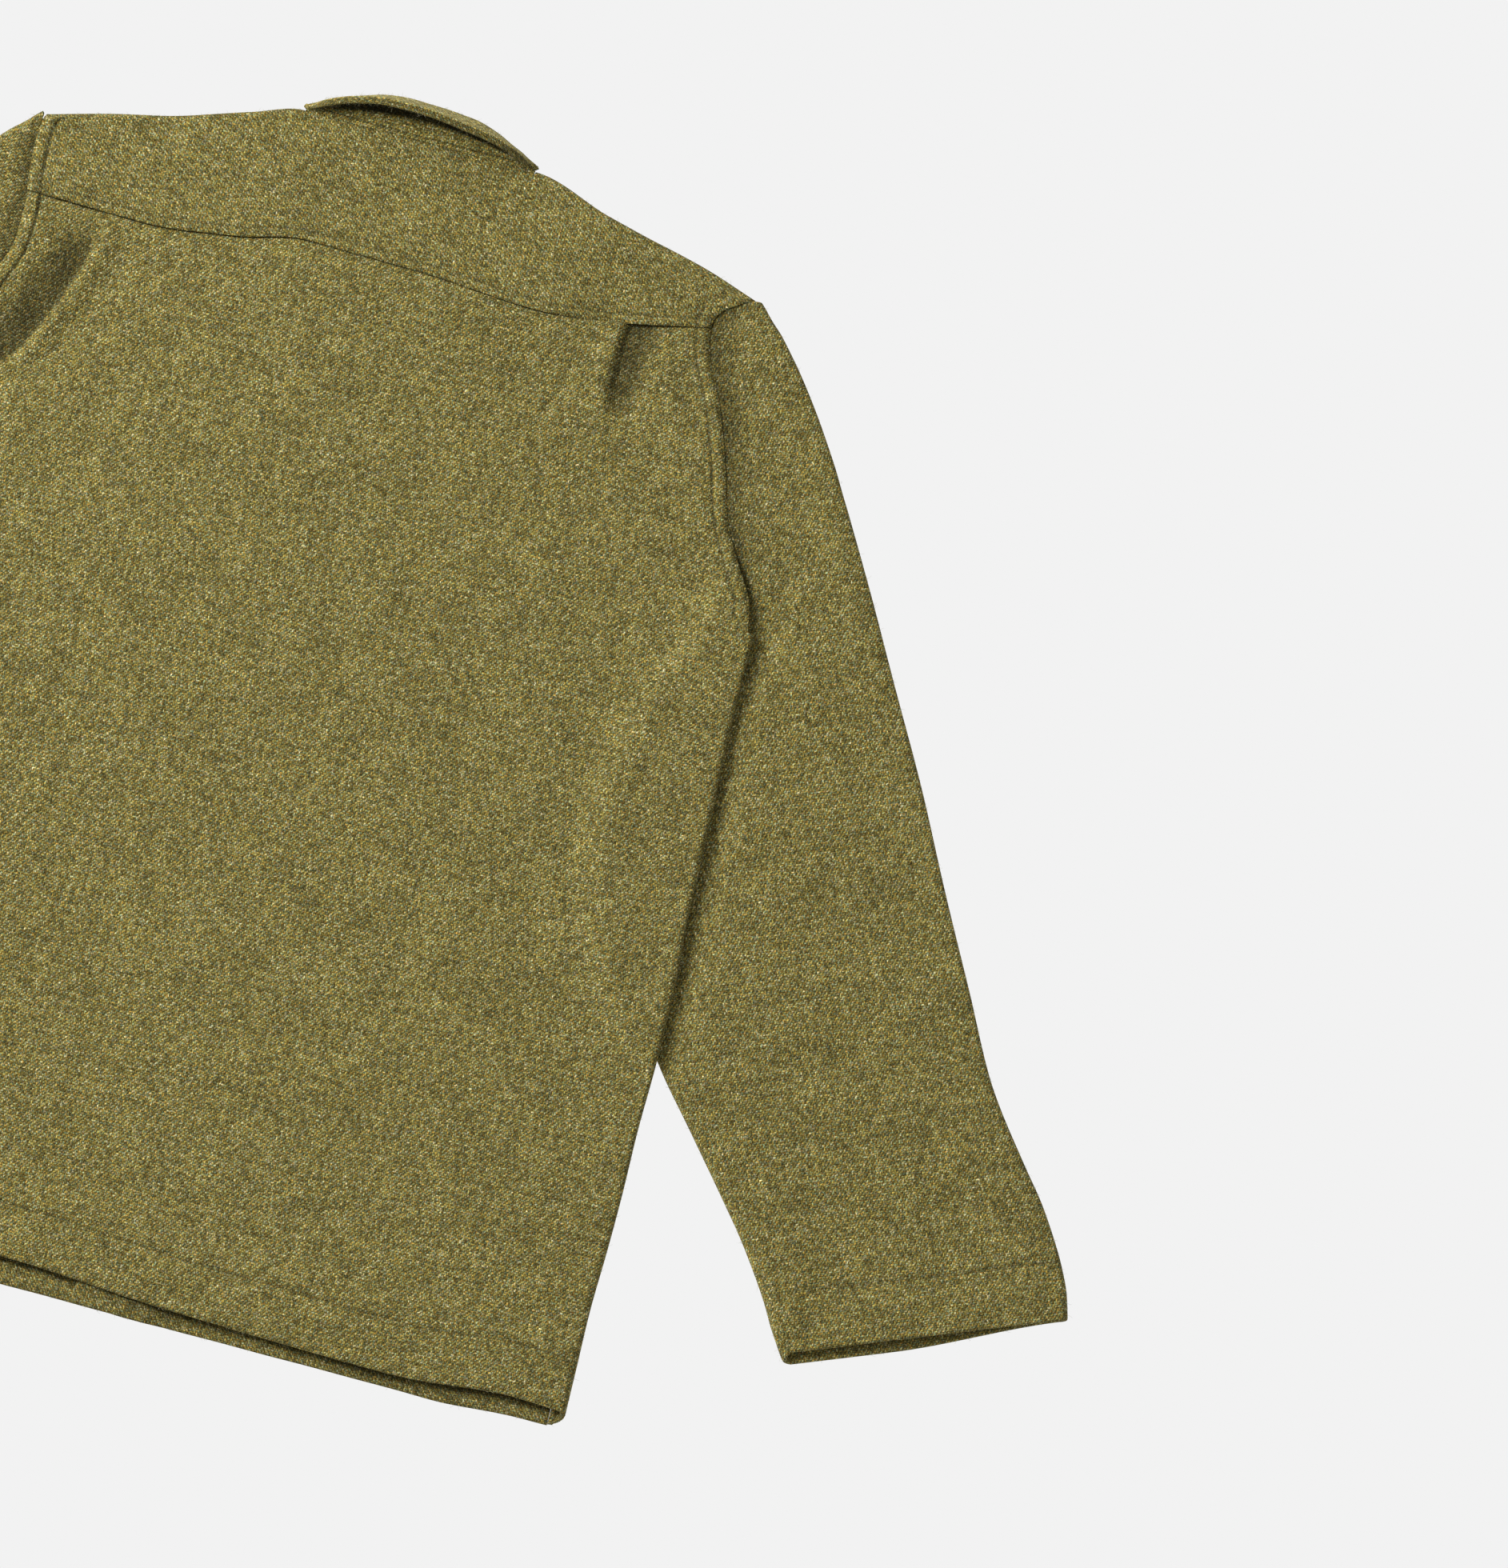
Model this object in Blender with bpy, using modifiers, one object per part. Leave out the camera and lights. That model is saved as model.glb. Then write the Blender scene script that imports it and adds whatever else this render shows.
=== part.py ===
"""A tweed jacket laid flat on its front, back upwards. Metres, +Y towards the collar, +X to the right."""

import math
from collections import namedtuple

import bmesh
import bpy
from mathutils import Vector

# One layer of tweed, and a turned-up hem of two layers pressed together
CLOTH = 0.0020
HEM_CLOTH = 0.0034
SEAM_GAP = 0.0004
LAYER_GAP = 0.0007

# How thick the laid garment is from its lower face to its upper face
BODY_LOFT = 0.0078
BODY_HEM_LOFT = 0.0108
SLEEVE_LOFT = 0.0076
SLEEVE_PRESSED_LOFT = 0.0056
CUFF_LOFT = 0.0100

# How far the body is lifted by a sleeve and by the collar's ends that lie under it
LIFT_BY_SLEEVE = 0.0064
LIFT_BY_COLLAR = 0.0027

HEM_DEPTH = 0.032
BACK_HEM_Y = -0.371
FRONT_HEM_Y = -0.382
UNDERARM_Y = 0.118
SIDE_SEAM_INSET = 0.0090
YOKE_SEAM_Y = 0.275
NECK_SEAM_Y = 0.3565
NECK_HALF = 0.072
YOKE_TURN = 0.022
SHOULDER_LEAN = Vector((0.265, 0.964))
FRONT_OVERLAP = 0.020
CUFF_LIP = 0.006
COLLAR_END_STAND = 0.012
COLLAR_END_FALL = 0.040
COLLAR_RISE = 0.26
FOLD_STEPS = 5

# The jacket is drawn from the centre back, and then laid with the middle of its length at the origin
LAID_SHIFT_Y = 0.00225

TWEED_COLOUR = (0.190, 0.160, 0.055, 1.0)
TWEED_ROUGHNESS = 0.95

# A row for each section across the body, from the hem up
Width = namedtuple("Width", "y half")
BODY_WIDTHS = (
    Width(-0.384, 0.2830),
    Width(-0.290, 0.2810),
    Width(-0.150, 0.2810),
    Width(-0.046, 0.2760),
    Width(0.064, 0.2715),
    Width(0.118, 0.2710),
)

# A row for each place along the armhole seam: the right and the left of the upper side, and the under side
Armhole = namedtuple("Armhole", "y right left under")
ARMHOLES = (
    Armhole(0.116, 0.2671, 0.2671, 0.2671),
    Armhole(0.132, 0.2640, 0.2640, 0.2640),
    Armhole(0.154, 0.2520, 0.2520, 0.2520),
    Armhole(0.181, 0.2380, 0.2380, 0.2380),
    Armhole(0.210, 0.2290, 0.2275, 0.2290),
    Armhole(0.236, 0.2200, 0.2200, 0.2200),
    Armhole(0.257, 0.2110, 0.2200, 0.2150),
    Armhole(0.272, 0.2035, 0.2225, 0.2135),
    Armhole(0.284, 0.1995, 0.2235, 0.2140),
    Armhole(0.294, 0.1985, 0.2240, 0.2150),
    Armhole(0.302, 0.2020, 0.2240, 0.2165),
    Armhole(0.309, 0.2110, 0.2230, 0.2185),
    Armhole(0.3145, 0.2200, 0.2205, 0.2205),
)

# A row for each bend of the seam between the yoke and the back
Bend = namedtuple("Bend", "x y")
YOKE_SEAM = (
    Bend(-0.222, 0.264),
    Bend(-0.147, 0.263),
    Bend(-0.093, 0.269),
    Bend(-0.050, 0.278),
    Bend(0.022, 0.277),
    Bend(0.094, 0.273),
    Bend(0.132, 0.277),
    Bend(0.164, 0.283),
    Bend(0.199, 0.291),
)
SHOULDER_LINE = (
    Bend(-0.2205, 0.3130),
    Bend(-0.1850, 0.3230),
    Bend(-0.1430, 0.3330),
    Bend(-0.1030, 0.3460),
    Bend(-0.0720, 0.3555),
    Bend(0.0720, 0.3555),
    Bend(0.1210, 0.3410),
    Bend(0.1850, 0.3260),
    Bend(0.2200, 0.3145),
)
BACK_HEM = (
    Bend(-0.283, -0.3700),
    Bend(-0.190, -0.3690),
    Bend(-0.070, -0.3665),
    Bend(0.040, -0.3720),
    Bend(0.175, -0.3745),
    Bend(0.250, -0.3685),
    Bend(0.283, -0.3700),
)
FRONT_NECKLINE = (
    Bend(-0.022, 0.2680),
    Bend(0.010, 0.2690),
    Bend(0.034, 0.2780),
    Bend(0.054, 0.3000),
    Bend(0.0662, 0.3343),
)

# A row for each section across the right sleeve below the armhole, from the cuff up: its inner and outer fold
Across = namedtuple("Across", "inner_x inner_y outer_x outer_y")
SLEEVE = (
    Across(0.3980, -0.3010, 0.5580, -0.2350),
    Across(0.3890, -0.2890, 0.5535, -0.2205),
    Across(0.3800, -0.2735, 0.5460, -0.2045),
    Across(0.3590, -0.2430, 0.5270, -0.1740),
    Across(0.3380, -0.2170, 0.5080, -0.1500),
    Across(0.3120, -0.1860, 0.4790, -0.1110),
    Across(0.2820, -0.1500, 0.4500, -0.0570),
    Across(0.2520, -0.1050, 0.4220, -0.0050),
    Across(0.2300, -0.0500, 0.3920, 0.0530),
    Across(0.2260, 0.0100, 0.3600, 0.1100),
    Across(0.2400, 0.0700, 0.3310, 0.1620),
    Across(0.2580, 0.1080, 0.3060, 0.2050),
)
# The cap above: a row for each line from the armhole, on either side, to the outer fold
Cap = namedtuple("Cap", "right_y left_y outer_x outer_y")
SLEEVE_CAP = (
    Cap(0.1320, 0.1320, 0.3000, 0.2150),
    Cap(0.1540, 0.1540, 0.2930, 0.2270),
    Cap(0.1810, 0.1800, 0.2850, 0.2395),
    Cap(0.2100, 0.2050, 0.2760, 0.2530),
    Cap(0.2360, 0.2280, 0.2660, 0.2670),
    Cap(0.2570, 0.2480, 0.2560, 0.2800),
    Cap(0.2720, 0.2620, 0.2480, 0.2895),
    Cap(0.2840, 0.2740, 0.2400, 0.2985),
    Cap(0.2940, 0.2840, 0.2340, 0.3040),
    Cap(0.3020, 0.2915, 0.2300, 0.3080),
    Cap(0.3065, 0.2975, 0.2275, 0.3108),
    Cap(0.3100, 0.3020, 0.2255, 0.3128),
)

# A row for each tuck in the back, with its sizes where it is deepest
Tuck = namedtuple("Tuck", "top_x low_x low_y bend ridge ridge_at ridge_wide valley valley_at valley_wide")
TUCKS = (
    Tuck(-0.168, -0.209, 0.150, 1.6, 0.0026, 0.006, 0.007, 0.0022, -0.009, 0.010),
    Tuck(0.148, 0.158, 0.205, 1.2, 0.0016, -0.009, 0.008, 0.0026, 0.000, 0.006),
)

# A row for each section across the back of the collar: the fold's outline, and the free edge that stands up
Roll = namedtuple("Roll", "x outer_y edge_y edge_z radius")
COLLAR = (
    Roll(-0.069, 0.3620, 0.3575, 0.0130, 0.0026),
    Roll(-0.062, 0.3640, 0.3590, 0.0190, 0.0028),
    Roll(-0.053, 0.3678, 0.3620, 0.0260, 0.0032),
    Roll(-0.044, 0.3715, 0.3646, 0.0320, 0.0038),
    Roll(-0.027, 0.3767, 0.3660, 0.0380, 0.0044),
    Roll(-0.008, 0.3787, 0.3662, 0.0400, 0.0045),
    Roll(0.010, 0.3787, 0.3650, 0.0400, 0.0045),
    Roll(0.026, 0.3767, 0.3634, 0.0380, 0.0044),
    Roll(0.044, 0.3716, 0.3613, 0.0335, 0.0038),
    Roll(0.056, 0.3660, 0.3590, 0.0255, 0.0030),
    Roll(0.064, 0.3630, 0.3575, 0.0170, 0.0026),
    Roll(0.069, 0.3620, 0.3570, 0.0120, 0.0026),
)


def smooth(value):
    """Eases from 0 to 1 while value goes from 0 to 1."""
    value = min(max(value, 0.0), 1.0)
    return value * value * (3.0 - 2.0 * value)


def mix(start, end, share):
    """The value that lies the given share of the way from start to end."""
    return start + (end - start) * share


def curve(rows, key, column):
    """A function that reads one column of a table at any key, smoothly and without overshoot."""
    keys = [getattr(row, key) for row in rows]
    values = [getattr(row, column) for row in rows]
    slopes = [(b - a) / (q - p) for a, b, p, q in zip(values, values[1:], keys, keys[1:])]
    inner = [2 * m * n / (m + n) if m * n > 0 else 0.0 for m, n in zip(slopes, slopes[1:])]
    tangents = [slopes[0]] + inner + [slopes[-1]]

    def read(at):
        at = min(max(at, keys[0]), keys[-1])
        place = max(i for i in range(len(keys) - 1) if keys[i] <= at)
        width = keys[place + 1] - keys[place]
        share = (at - keys[place]) / width
        rise = values[place + 1] - values[place]
        near = tangents[place] * width
        far = tangents[place + 1] * width
        bulge = share * (1 - share) * ((1 - share) * (near - rise) - share * (far - rise))
        return values[place] + rise * share + bulge

    return read


body_half = curve(BODY_WIDTHS, "y", "half")
armhole_right = curve(ARMHOLES, "y", "right")
armhole_left = curve(ARMHOLES, "y", "left")
armhole_under = curve(ARMHOLES, "y", "under")
yoke_seam = curve(YOKE_SEAM, "x", "y")
shoulder_line = curve(SHOULDER_LINE, "x", "y")
back_hem = curve(BACK_HEM, "x", "y")
front_neckline = curve(FRONT_NECKLINE, "x", "y")
sleeve_inner_x = curve(SLEEVE, "inner_y", "inner_x")
NECKLINE_STEPS = (0.023, 0.037, 0.046, 0.055)
NECKLINE_PLACES = [Vector((x / 1000, front_neckline(x / 1000))) for x in range(0, 67, 3)]


def front_top(side, across):
    """The upper edge of a front, at a distance from the centre front: its neckline, then its seam to the yoke."""
    if across <= FRONT_NECKLINE[-1].x:
        return front_neckline(across)
    return shoulder_line(side * (across + SHOULDER_LEAN.x * YOKE_TURN)) - SHOULDER_LEAN.y * YOKE_TURN


def lift(x, y):
    """How high the under side of the body lies above the floor at a place, over the sleeves and the collar."""
    inner = sleeve_inner_x(y) if y > SLEEVE[5].inner_y else body_half(y) + 0.030
    over_sleeve = smooth((abs(x) - inner + 0.032) / 0.022) * smooth((0.176 - y) / 0.045)
    place = Vector((abs(x), y))
    from_neckline = min((place - other).length for other in NECKLINE_PLACES)
    over_collar = smooth((0.088 - from_neckline) / 0.030)
    return max(LIFT_BY_SLEEVE * over_sleeve, LIFT_BY_COLLAR * over_collar)


def body_loft(x, y):
    """The height of the body from its lower to its upper face: thicker where the hems lie on each other."""
    over_hem = smooth((BACK_HEM_Y + HEM_DEPTH + 0.022 - y) / 0.020)
    return mix(BODY_LOFT, BODY_HEM_LOFT, over_hem)


def tuck_relief(x, y):
    """The height of the tucks' ridges and valleys on the back, below the yoke seam."""
    total = 0.0
    below = yoke_seam(x) - y
    for tuck in TUCKS:
        length = yoke_seam(tuck.top_x) - tuck.low_y
        share = min(max(below / length, 0.0), 1.2)
        centre = mix(tuck.top_x, tuck.low_x, share**tuck.bend)
        aside = x - centre
        fading = smooth(below / 0.007) * smooth(1.25 - 1.25 * share)
        ridge = tuck.ridge * math.exp(-(((aside - tuck.ridge_at) / tuck.ridge_wide) ** 2))
        valley = tuck.valley * math.exp(-(((aside - tuck.valley_at) / tuck.valley_wide) ** 2))
        total += fading * (ridge - valley)
    return total


def fold_points(edge, outward, low, high, steps=FOLD_STEPS):
    """The points of a half round that turns from the upper face, at height high, to the lower one, at low."""
    radius = (high - low) / 2
    points = []
    for step in range(steps + 1):
        angle = math.pi * step / steps
        reach = outward * (radius * math.sin(angle) - radius)
        points.append(Vector((edge.x + reach.x, edge.y + reach.y, low + radius + radius * math.cos(angle))))
    return points


def tweed():
    """The material of every piece: woollen cloth, with no shine."""
    material = bpy.data.materials.get("Tweed") or bpy.data.materials.new("Tweed")
    material.use_nodes = True
    shader = material.node_tree.nodes["Principled BSDF"]
    shader.inputs["Base Color"].default_value = TWEED_COLOUR
    shader.inputs["Roughness"].default_value = TWEED_ROUGHNESS
    shader.inputs["Metallic"].default_value = 0.0
    return material


def sew(name, grid, thick=None, flip=False):
    """Makes one piece of cloth: an open sheet through a grid of points, given its wall by Solidify.

    grid maps (row, column) to a point of the outer face, and thick maps it to its wall where that isn't CLOTH.
    Columns run counter-clockwise round the rows as seen from outside, or clockwise where flip is set.
    """
    thick = thick or {}
    thickest = max([CLOTH, *thick.values()])
    mesh = bpy.data.meshes.new(name)
    made = bmesh.new()
    weights = made.verts.layers.deform.verify()
    corners = {}
    for key, point in grid.items():
        corners[key] = made.verts.new(point)
        corners[key][weights][0] = thick.get(key, CLOTH) / thickest
    for row, column in grid:
        around = [(row, column), (row, column + 1), (row + 1, column + 1), (row + 1, column)]
        if all(key in grid for key in around):
            made.faces.new([corners[key] for key in (reversed(around) if flip else around)])
    bmesh.ops.remove_doubles(made, verts=made.verts, dist=1e-6)
    made.to_mesh(mesh)
    made.free()
    piece = bpy.data.objects.new(name, mesh)
    piece.parent = bpy.data.objects["laid_jacket"]
    bpy.data.collections["TweedJacket"].objects.link(piece)
    piece.vertex_groups.new(name="wall")
    wall = piece.modifiers.new("Wall", "SOLIDIFY")
    wall.thickness = thickest
    wall.offset = -1.0
    wall.vertex_group = "wall"
    wall.thickness_vertex_group = 0.0
    mesh.materials.append(tweed())
    mesh.shade_smooth()
    return piece


def steps_between(start, end, count):
    """Evenly spaced values from start to end, both included."""
    return [mix(start, end, i / count) for i in range(count + 1)]


def make_back():
    """The back: a grid from hem to yoke seam, turned round both sides to the side seams below the armholes."""
    heights = [BACK_HEM_Y, BACK_HEM_Y + HEM_DEPTH - 0.001, BACK_HEM_Y + HEM_DEPTH + 0.002]
    heights += steps_between(-0.315, UNDERARM_Y - 0.026, 10) + steps_between(UNDERARM_Y, 0.215, 5)
    heights += steps_between(0.228, YOKE_SEAM_Y - SEAM_GAP, 5)
    shares = steps_between(0.0, 1.0, 26) + [0.098, 0.135, 0.172, 0.828, 0.866, 0.904]
    shares = sorted(shares)
    grid, thick = {}, {}
    for row, height in enumerate(heights):
        hem_share = smooth((-0.25 - height) / 0.10)
        seam_share = smooth((height - 0.14) / 0.13)

        def true_y(x):
            bend = hem_share * (back_hem(x) - BACK_HEM_Y) + seam_share * (yoke_seam(x) - YOKE_SEAM_Y)
            return height + bend

        sides = []
        for side, armhole in ((-1, armhole_left), (1, armhole_right)):
            if height > UNDERARM_Y:
                place = true_y(side * armhole(height))
                sides.append(side * (armhole(place) - SEAM_GAP))
            else:
                loft = body_loft(0.0, height)
                sides.append(side * (body_half(height) - loft / 2))
        for column, share in enumerate(shares):
            x = mix(sides[0], sides[1], share)
            y = true_y(x)
            grid[row, column] = Vector((x, y, lift(x, y) + body_loft(x, y) + tuck_relief(x, y)))
        if height <= UNDERARM_Y:
            for side in (-1, 1):
                edge = Vector((side * body_half(height), true_y(sides[1])))
                low = lift(edge.x, edge.y)
                turn = fold_points(edge, Vector((side, 0.0)), low, low + body_loft(edge.x, edge.y))
                turn.append(Vector((side * (body_half(height) - SIDE_SEAM_INSET), edge.y, low)))
                for step, point in enumerate(turn[1:], 1):
                    slack = mix(0.0, FRONT_HEM_Y - BACK_HEM_Y, smooth(step / len(turn)))
                    point.y += 0.8 * slack * smooth((-0.30 - height) / 0.07)
                    column = len(shares) - 1 + step if side > 0 else -step
                    grid[row, column] = point
        for key in [key for key in grid if key[0] == row]:
            thick[key] = HEM_CLOTH if row < 2 else CLOTH
    return sew("back", grid, thick)


def make_yoke():
    """The yoke: from the yoke seam to the neck seam, turned over both shoulders onto the front."""
    tops = steps_between(-0.2205, -NECK_HALF, 8) + steps_between(-NECK_HALF, NECK_HALF, 9)[1:]
    tops += steps_between(NECK_HALF, 0.2200, 8)[1:]
    rises = steps_between(0.0, 1.0, 5)
    grid = {}
    for column, top_x in enumerate(tops):
        share = (top_x - tops[0]) / (tops[-1] - tops[0])
        bottom_x = mix(-armhole_left(yoke_seam(-0.222)), armhole_right(yoke_seam(0.199)), share)
        top_y = shoulder_line(top_x)
        at_neck = abs(top_x) <= NECK_HALF + 1e-6
        if abs(top_x) < NECK_HALF - 1e-6:
            top_y = mix(top_y, NECK_SEAM_Y, smooth((NECK_HALF - abs(top_x)) / 0.015))
        for row, rise in enumerate(rises):
            y = mix(yoke_seam(bottom_x) + SEAM_GAP, top_y - (0.0 if at_neck else BODY_LOFT / 2), rise)
            x = mix(bottom_x, top_x, rise)
            if column == 0:
                x = -armhole_left(y) + SEAM_GAP
            if column == len(tops) - 1:
                x = armhole_right(y) - SEAM_GAP
            grid[row, column] = Vector((x, y, lift(x, y) + BODY_LOFT))
        if abs(top_x) < NECK_HALF - 1e-6:
            continue
        low = lift(top_x, top_y)
        side = math.copysign(1.0, top_x)
        outward = Vector((side * SHOULDER_LEAN.x, SHOULDER_LEAN.y))
        edge = Vector((top_x, top_y))
        turn = fold_points(edge, outward, low, low + BODY_LOFT)
        for inset in (YOKE_TURN / 2, YOKE_TURN):
            turn.append(Vector((top_x - outward.x * inset, top_y - outward.y * inset, low)))
        for step, point in enumerate(turn):
            if column in (0, len(tops) - 1):
                upper = armhole_right if side > 0 else armhole_left
                seam = upper if step <= FOLD_STEPS // 2 else armhole_under
                point.x = side * (seam(point.y) - SEAM_GAP)
            grid[len(rises) - 1 + step, column] = point
    return sew("yoke", grid)


def make_front(side, name):
    """A front, under the back: from the hem to the neckline and the yoke, and from its front edge to the side."""
    laps_under = side > 0
    side_places = [FRONT_HEM_Y, FRONT_HEM_Y + HEM_DEPTH - 0.001, FRONT_HEM_Y + HEM_DEPTH + 0.002]
    side_places += steps_between(-0.310, UNDERARM_Y + 0.0005, 11)
    side_places += steps_between(0.134, front_top(side, 0.2142), 7)
    near_lap = [-FRONT_OVERLAP, 0.0, *NECKLINE_STEPS, FRONT_NECKLINE[-1].x]
    grid, thick = {}, {}
    for row, y_side in enumerate(side_places):
        if y_side > UNDERARM_Y + 0.001:
            outer = armhole_under(y_side) - SEAM_GAP
        else:
            outer = body_half(y_side) - SIDE_SEAM_INSET - SEAM_GAP
        rise = (y_side - FRONT_HEM_Y) / (front_top(side, outer) - FRONT_HEM_Y)
        fold_x = min(sleeve_inner_x(y_side), outer) if -0.16 < y_side < UNDERARM_Y else outer
        rising, risen = fold_x - 0.034, fold_x - 0.009
        places = near_lap + steps_between(near_lap[-1], rising, 5)[1:]
        places += steps_between(risen, outer, 3)
        for column, across in enumerate(places):
            top = front_top(side, across) - 2 * SEAM_GAP
            y = mix(FRONT_HEM_Y, top, rise)
            y += 0.004 * smooth((across - 0.20) / 0.06) * smooth(1 - 12 * rise)
            z = 0.0
            if laps_under:
                over_hem = smooth((FRONT_HEM_Y + HEM_DEPTH + 0.02 - y) / 0.015)
                step = CLOTH + SEAM_GAP + (HEM_CLOTH - CLOTH) * over_hem
                z = step * smooth((FRONT_OVERLAP + 0.017 - across) / 0.014)
            grid[row, column] = Vector((side * across, y, z + lift(across, y)))
            thick[row, column] = HEM_CLOTH if row < 2 else CLOTH
    return sew(name, grid, thick, flip=side > 0)


def square_to(edge_points, row, hand):
    """The level direction square to an edge at one of its points: to the right for hand 1, to the left for -1."""
    before = edge_points[max(row - 1, 0)]
    after = edge_points[min(row + 1, len(edge_points) - 1)]
    along = (after - before).normalized()
    return Vector((hand * along.y, -hand * along.x))


def sleeve_height(place, loft):
    """The height of the upper face of a sleeve: pressed down where the side of the body lies on it."""
    covered = smooth((body_half(place.y) + 0.022 - place.x) / 0.014) * smooth((0.165 - place.y) / 0.032)
    return mix(loft, SLEEVE_PRESSED_LOFT, covered)


def make_sleeve(side, name):
    """A sleeve: a flattened tube from the cuff to the armhole, its inner fold under the side of the body."""
    armhole = armhole_right if side > 0 else armhole_left
    uppers = [Vector((row.inner_x, row.inner_y)) for row in SLEEVE]
    unders = list(uppers)
    for cap in SLEEVE_CAP:
        seam_y = cap.right_y if side > 0 else cap.left_y
        uppers.append(Vector((armhole(seam_y) + 3 * SEAM_GAP, seam_y)))
        unders.append(Vector((armhole_under(seam_y) + 2 * SEAM_GAP, seam_y)))
    outers = [Vector((row.outer_x, row.outer_y)) for row in SLEEVE + SLEEVE_CAP]
    down_sleeve = (outers[0] - outers[3]).normalized()
    grid, thick = {}, {}
    for row, (upper, under, outer) in enumerate(zip(uppers, unders, outers)):
        closed = row < len(SLEEVE)
        loft = mix(SLEEVE_LOFT, CUFF_LOFT, smooth((3.0 - row) / 2))
        near_tip = smooth((row - len(SLEEVE)) / (len(SLEEVE_CAP) - 4))
        outward = square_to(outers, row, 1).lerp((outer - upper).normalized(), near_tip).normalized()
        inward = square_to(uppers[: len(SLEEVE)], min(row, len(SLEEVE) - 1), -1)
        finish = outer - outward * loft / 2
        start = upper - inward * sleeve_height(upper, loft) / 2 if closed else upper
        under_start = upper - inward * sleeve_height(upper, loft) / 2 if closed else under
        edge = min(max((body_half(start.y) - start.x) / (finish.x - start.x), 0.10), 0.62)
        column = 0
        for share in steps_between(0.0, edge + 0.03, 3) + steps_between(edge + 0.17, 1.0, 4):
            place = start.lerp(finish, share)
            grid[row, column] = Vector((place.x, place.y, sleeve_height(place, loft)))
            column += 1
        for point in fold_points(outer, outward, 0.0, loft)[1:]:
            grid[row, column] = point
            column += 1
        for share in steps_between(0.0, 1.0, 6)[1:]:
            place = finish.lerp(under_start, share)
            place = place + down_sleeve * (CUFF_LIP * smooth(1.0 - row) * smooth(share * 1.6))
            grid[row, column] = Vector((place.x, place.y, 0.0))
            column += 1
        if closed:
            inner = fold_points(upper, inward, 0.0, sleeve_height(upper, loft))
            for step, point in enumerate(reversed(inner[:-1]), 1):
                slack = CUFF_LIP * smooth(1.0 - row) * (1.0 - step / (len(inner) - 1))
                point.x += down_sleeve.x * slack
                point.y += down_sleeve.y * slack
                grid[row, column] = point
                column += 1
        for key in [key for key in grid if key[0] == row]:
            thick[key] = HEM_CLOTH if row < 2 else CLOTH
    for key, point in grid.items():
        grid[key] = Vector((side * point.x, point.y, point.z))
    return sew(name, grid, thick, flip=side < 0)


def collar_profile(roll_x):
    """The line between the two layers of the collar, across it: up the stand, round the fold, out to the edge."""
    outer_y, edge_y, edge_z, radius = (curve(COLLAR, "x", name)(roll_x) for name in COLLAR[0]._fields[1:])
    raised = lift(roll_x, NECK_SEAM_Y)
    seam = Vector((NECK_SEAM_Y + 3 * SEAM_GAP, raised + BODY_LOFT - CLOTH - LAYER_GAP / 2))
    edge = Vector((edge_y, raised + edge_z))
    stand = max(outer_y - seam.x - radius - CLOTH, 0.0006)
    rise = math.atan(COLLAR_RISE * smooth(stand / 0.012))
    along = Vector((math.cos(rise), math.sin(rise)))
    across = Vector((-along.y, along.x))
    top = seam + along * stand
    turn = math.radians(110)
    for _ in range(12):
        end = top + along * (radius * math.sin(turn)) + across * (radius * (1 - math.cos(turn)))
        way = edge - end
        turn = math.atan2(way.dot(across), way.dot(along))
    points = [seam.lerp(top, share) for share in steps_between(0.0, 1.0, 2)]
    for angle in steps_between(0.0, turn, 5)[1:]:
        points.append(top + along * (radius * math.sin(angle)) + across * (radius * (1 - math.cos(angle))))
    return points + [end.lerp(edge, share) for share in steps_between(0.0, 1.0, 3)[1:]]


def make_collar(name, layer):
    """One layer of the collar at the back of the neck: layer is 1 for the upper collar, outside the fold."""
    grid = {}
    for row, roll_x in enumerate(steps_between(COLLAR[0].x, COLLAR[-1].x, 16)):
        points = collar_profile(roll_x)
        for column, point in enumerate(points):
            before, after = points[max(column - 1, 0)], points[min(column + 1, len(points) - 1)]
            along = (after - before).normalized()
            outside = Vector((along.y, -along.x))
            moved = point + outside * (layer * LAYER_GAP / 2)
            grid[row, column] = Vector((roll_x, moved.x, moved.y))
    return sew(name, grid, flip=layer > 0)


def make_collar_end(side, name):
    """An end of the collar, folded flat under a front: its stand lies in the neck and its leaf on the floor."""
    grid = {}
    loft = LIFT_BY_COLLAR + CLOTH
    for row, across in enumerate((0.008, *NECKLINE_STEPS, 0.0640)):
        slope = (front_neckline(across + 0.001) - front_neckline(across - 0.001)) / 0.002
        inward = Vector((-slope, 1.0)).normalized()
        seam = Vector((across, front_neckline(across))) + inward * SEAM_GAP
        fold = seam + inward * COLLAR_END_STAND
        flat = [fold - inward * mix(COLLAR_END_STAND + COLLAR_END_FALL, loft / 2, i / 4) for i in range(4)]
        points = [Vector((place.x, place.y, 0.0)) for place in flat]
        points += reversed(fold_points(fold, inward, 0.0, loft))
        points.append(Vector((seam.x, seam.y, loft)))
        for column, point in enumerate(points):
            grid[row, column] = Vector((side * point.x, point.y, point.z))
    return sew(name, grid, flip=side < 0)


def main():
    """Clears the scene and makes the pieces of the jacket."""
    for old in list(bpy.data.objects):
        bpy.data.objects.remove(old, do_unlink=True)
    jacket = bpy.data.collections.new("TweedJacket")
    bpy.context.scene.collection.children.link(jacket)
    laid = bpy.data.objects.new("laid_jacket", None)
    laid.location.y = LAID_SHIFT_Y
    jacket.objects.link(laid)
    make_back()
    make_yoke()
    make_front(-1, "front_left")
    make_front(1, "front_right")
    make_sleeve(-1, "sleeve_left")
    make_sleeve(1, "sleeve_right")
    make_collar("collar_upper", 1)
    make_collar("collar_under", -1)
    make_collar_end(-1, "collar_end_left")
    make_collar_end(1, "collar_end_right")


main()
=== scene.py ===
"""The looks of a woollen tweed jacket that lies flat on its front, back upwards.

Lengths are metres unless a name says mm. +X is to the right, +Y to the collar and +Z up.
"""

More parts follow.
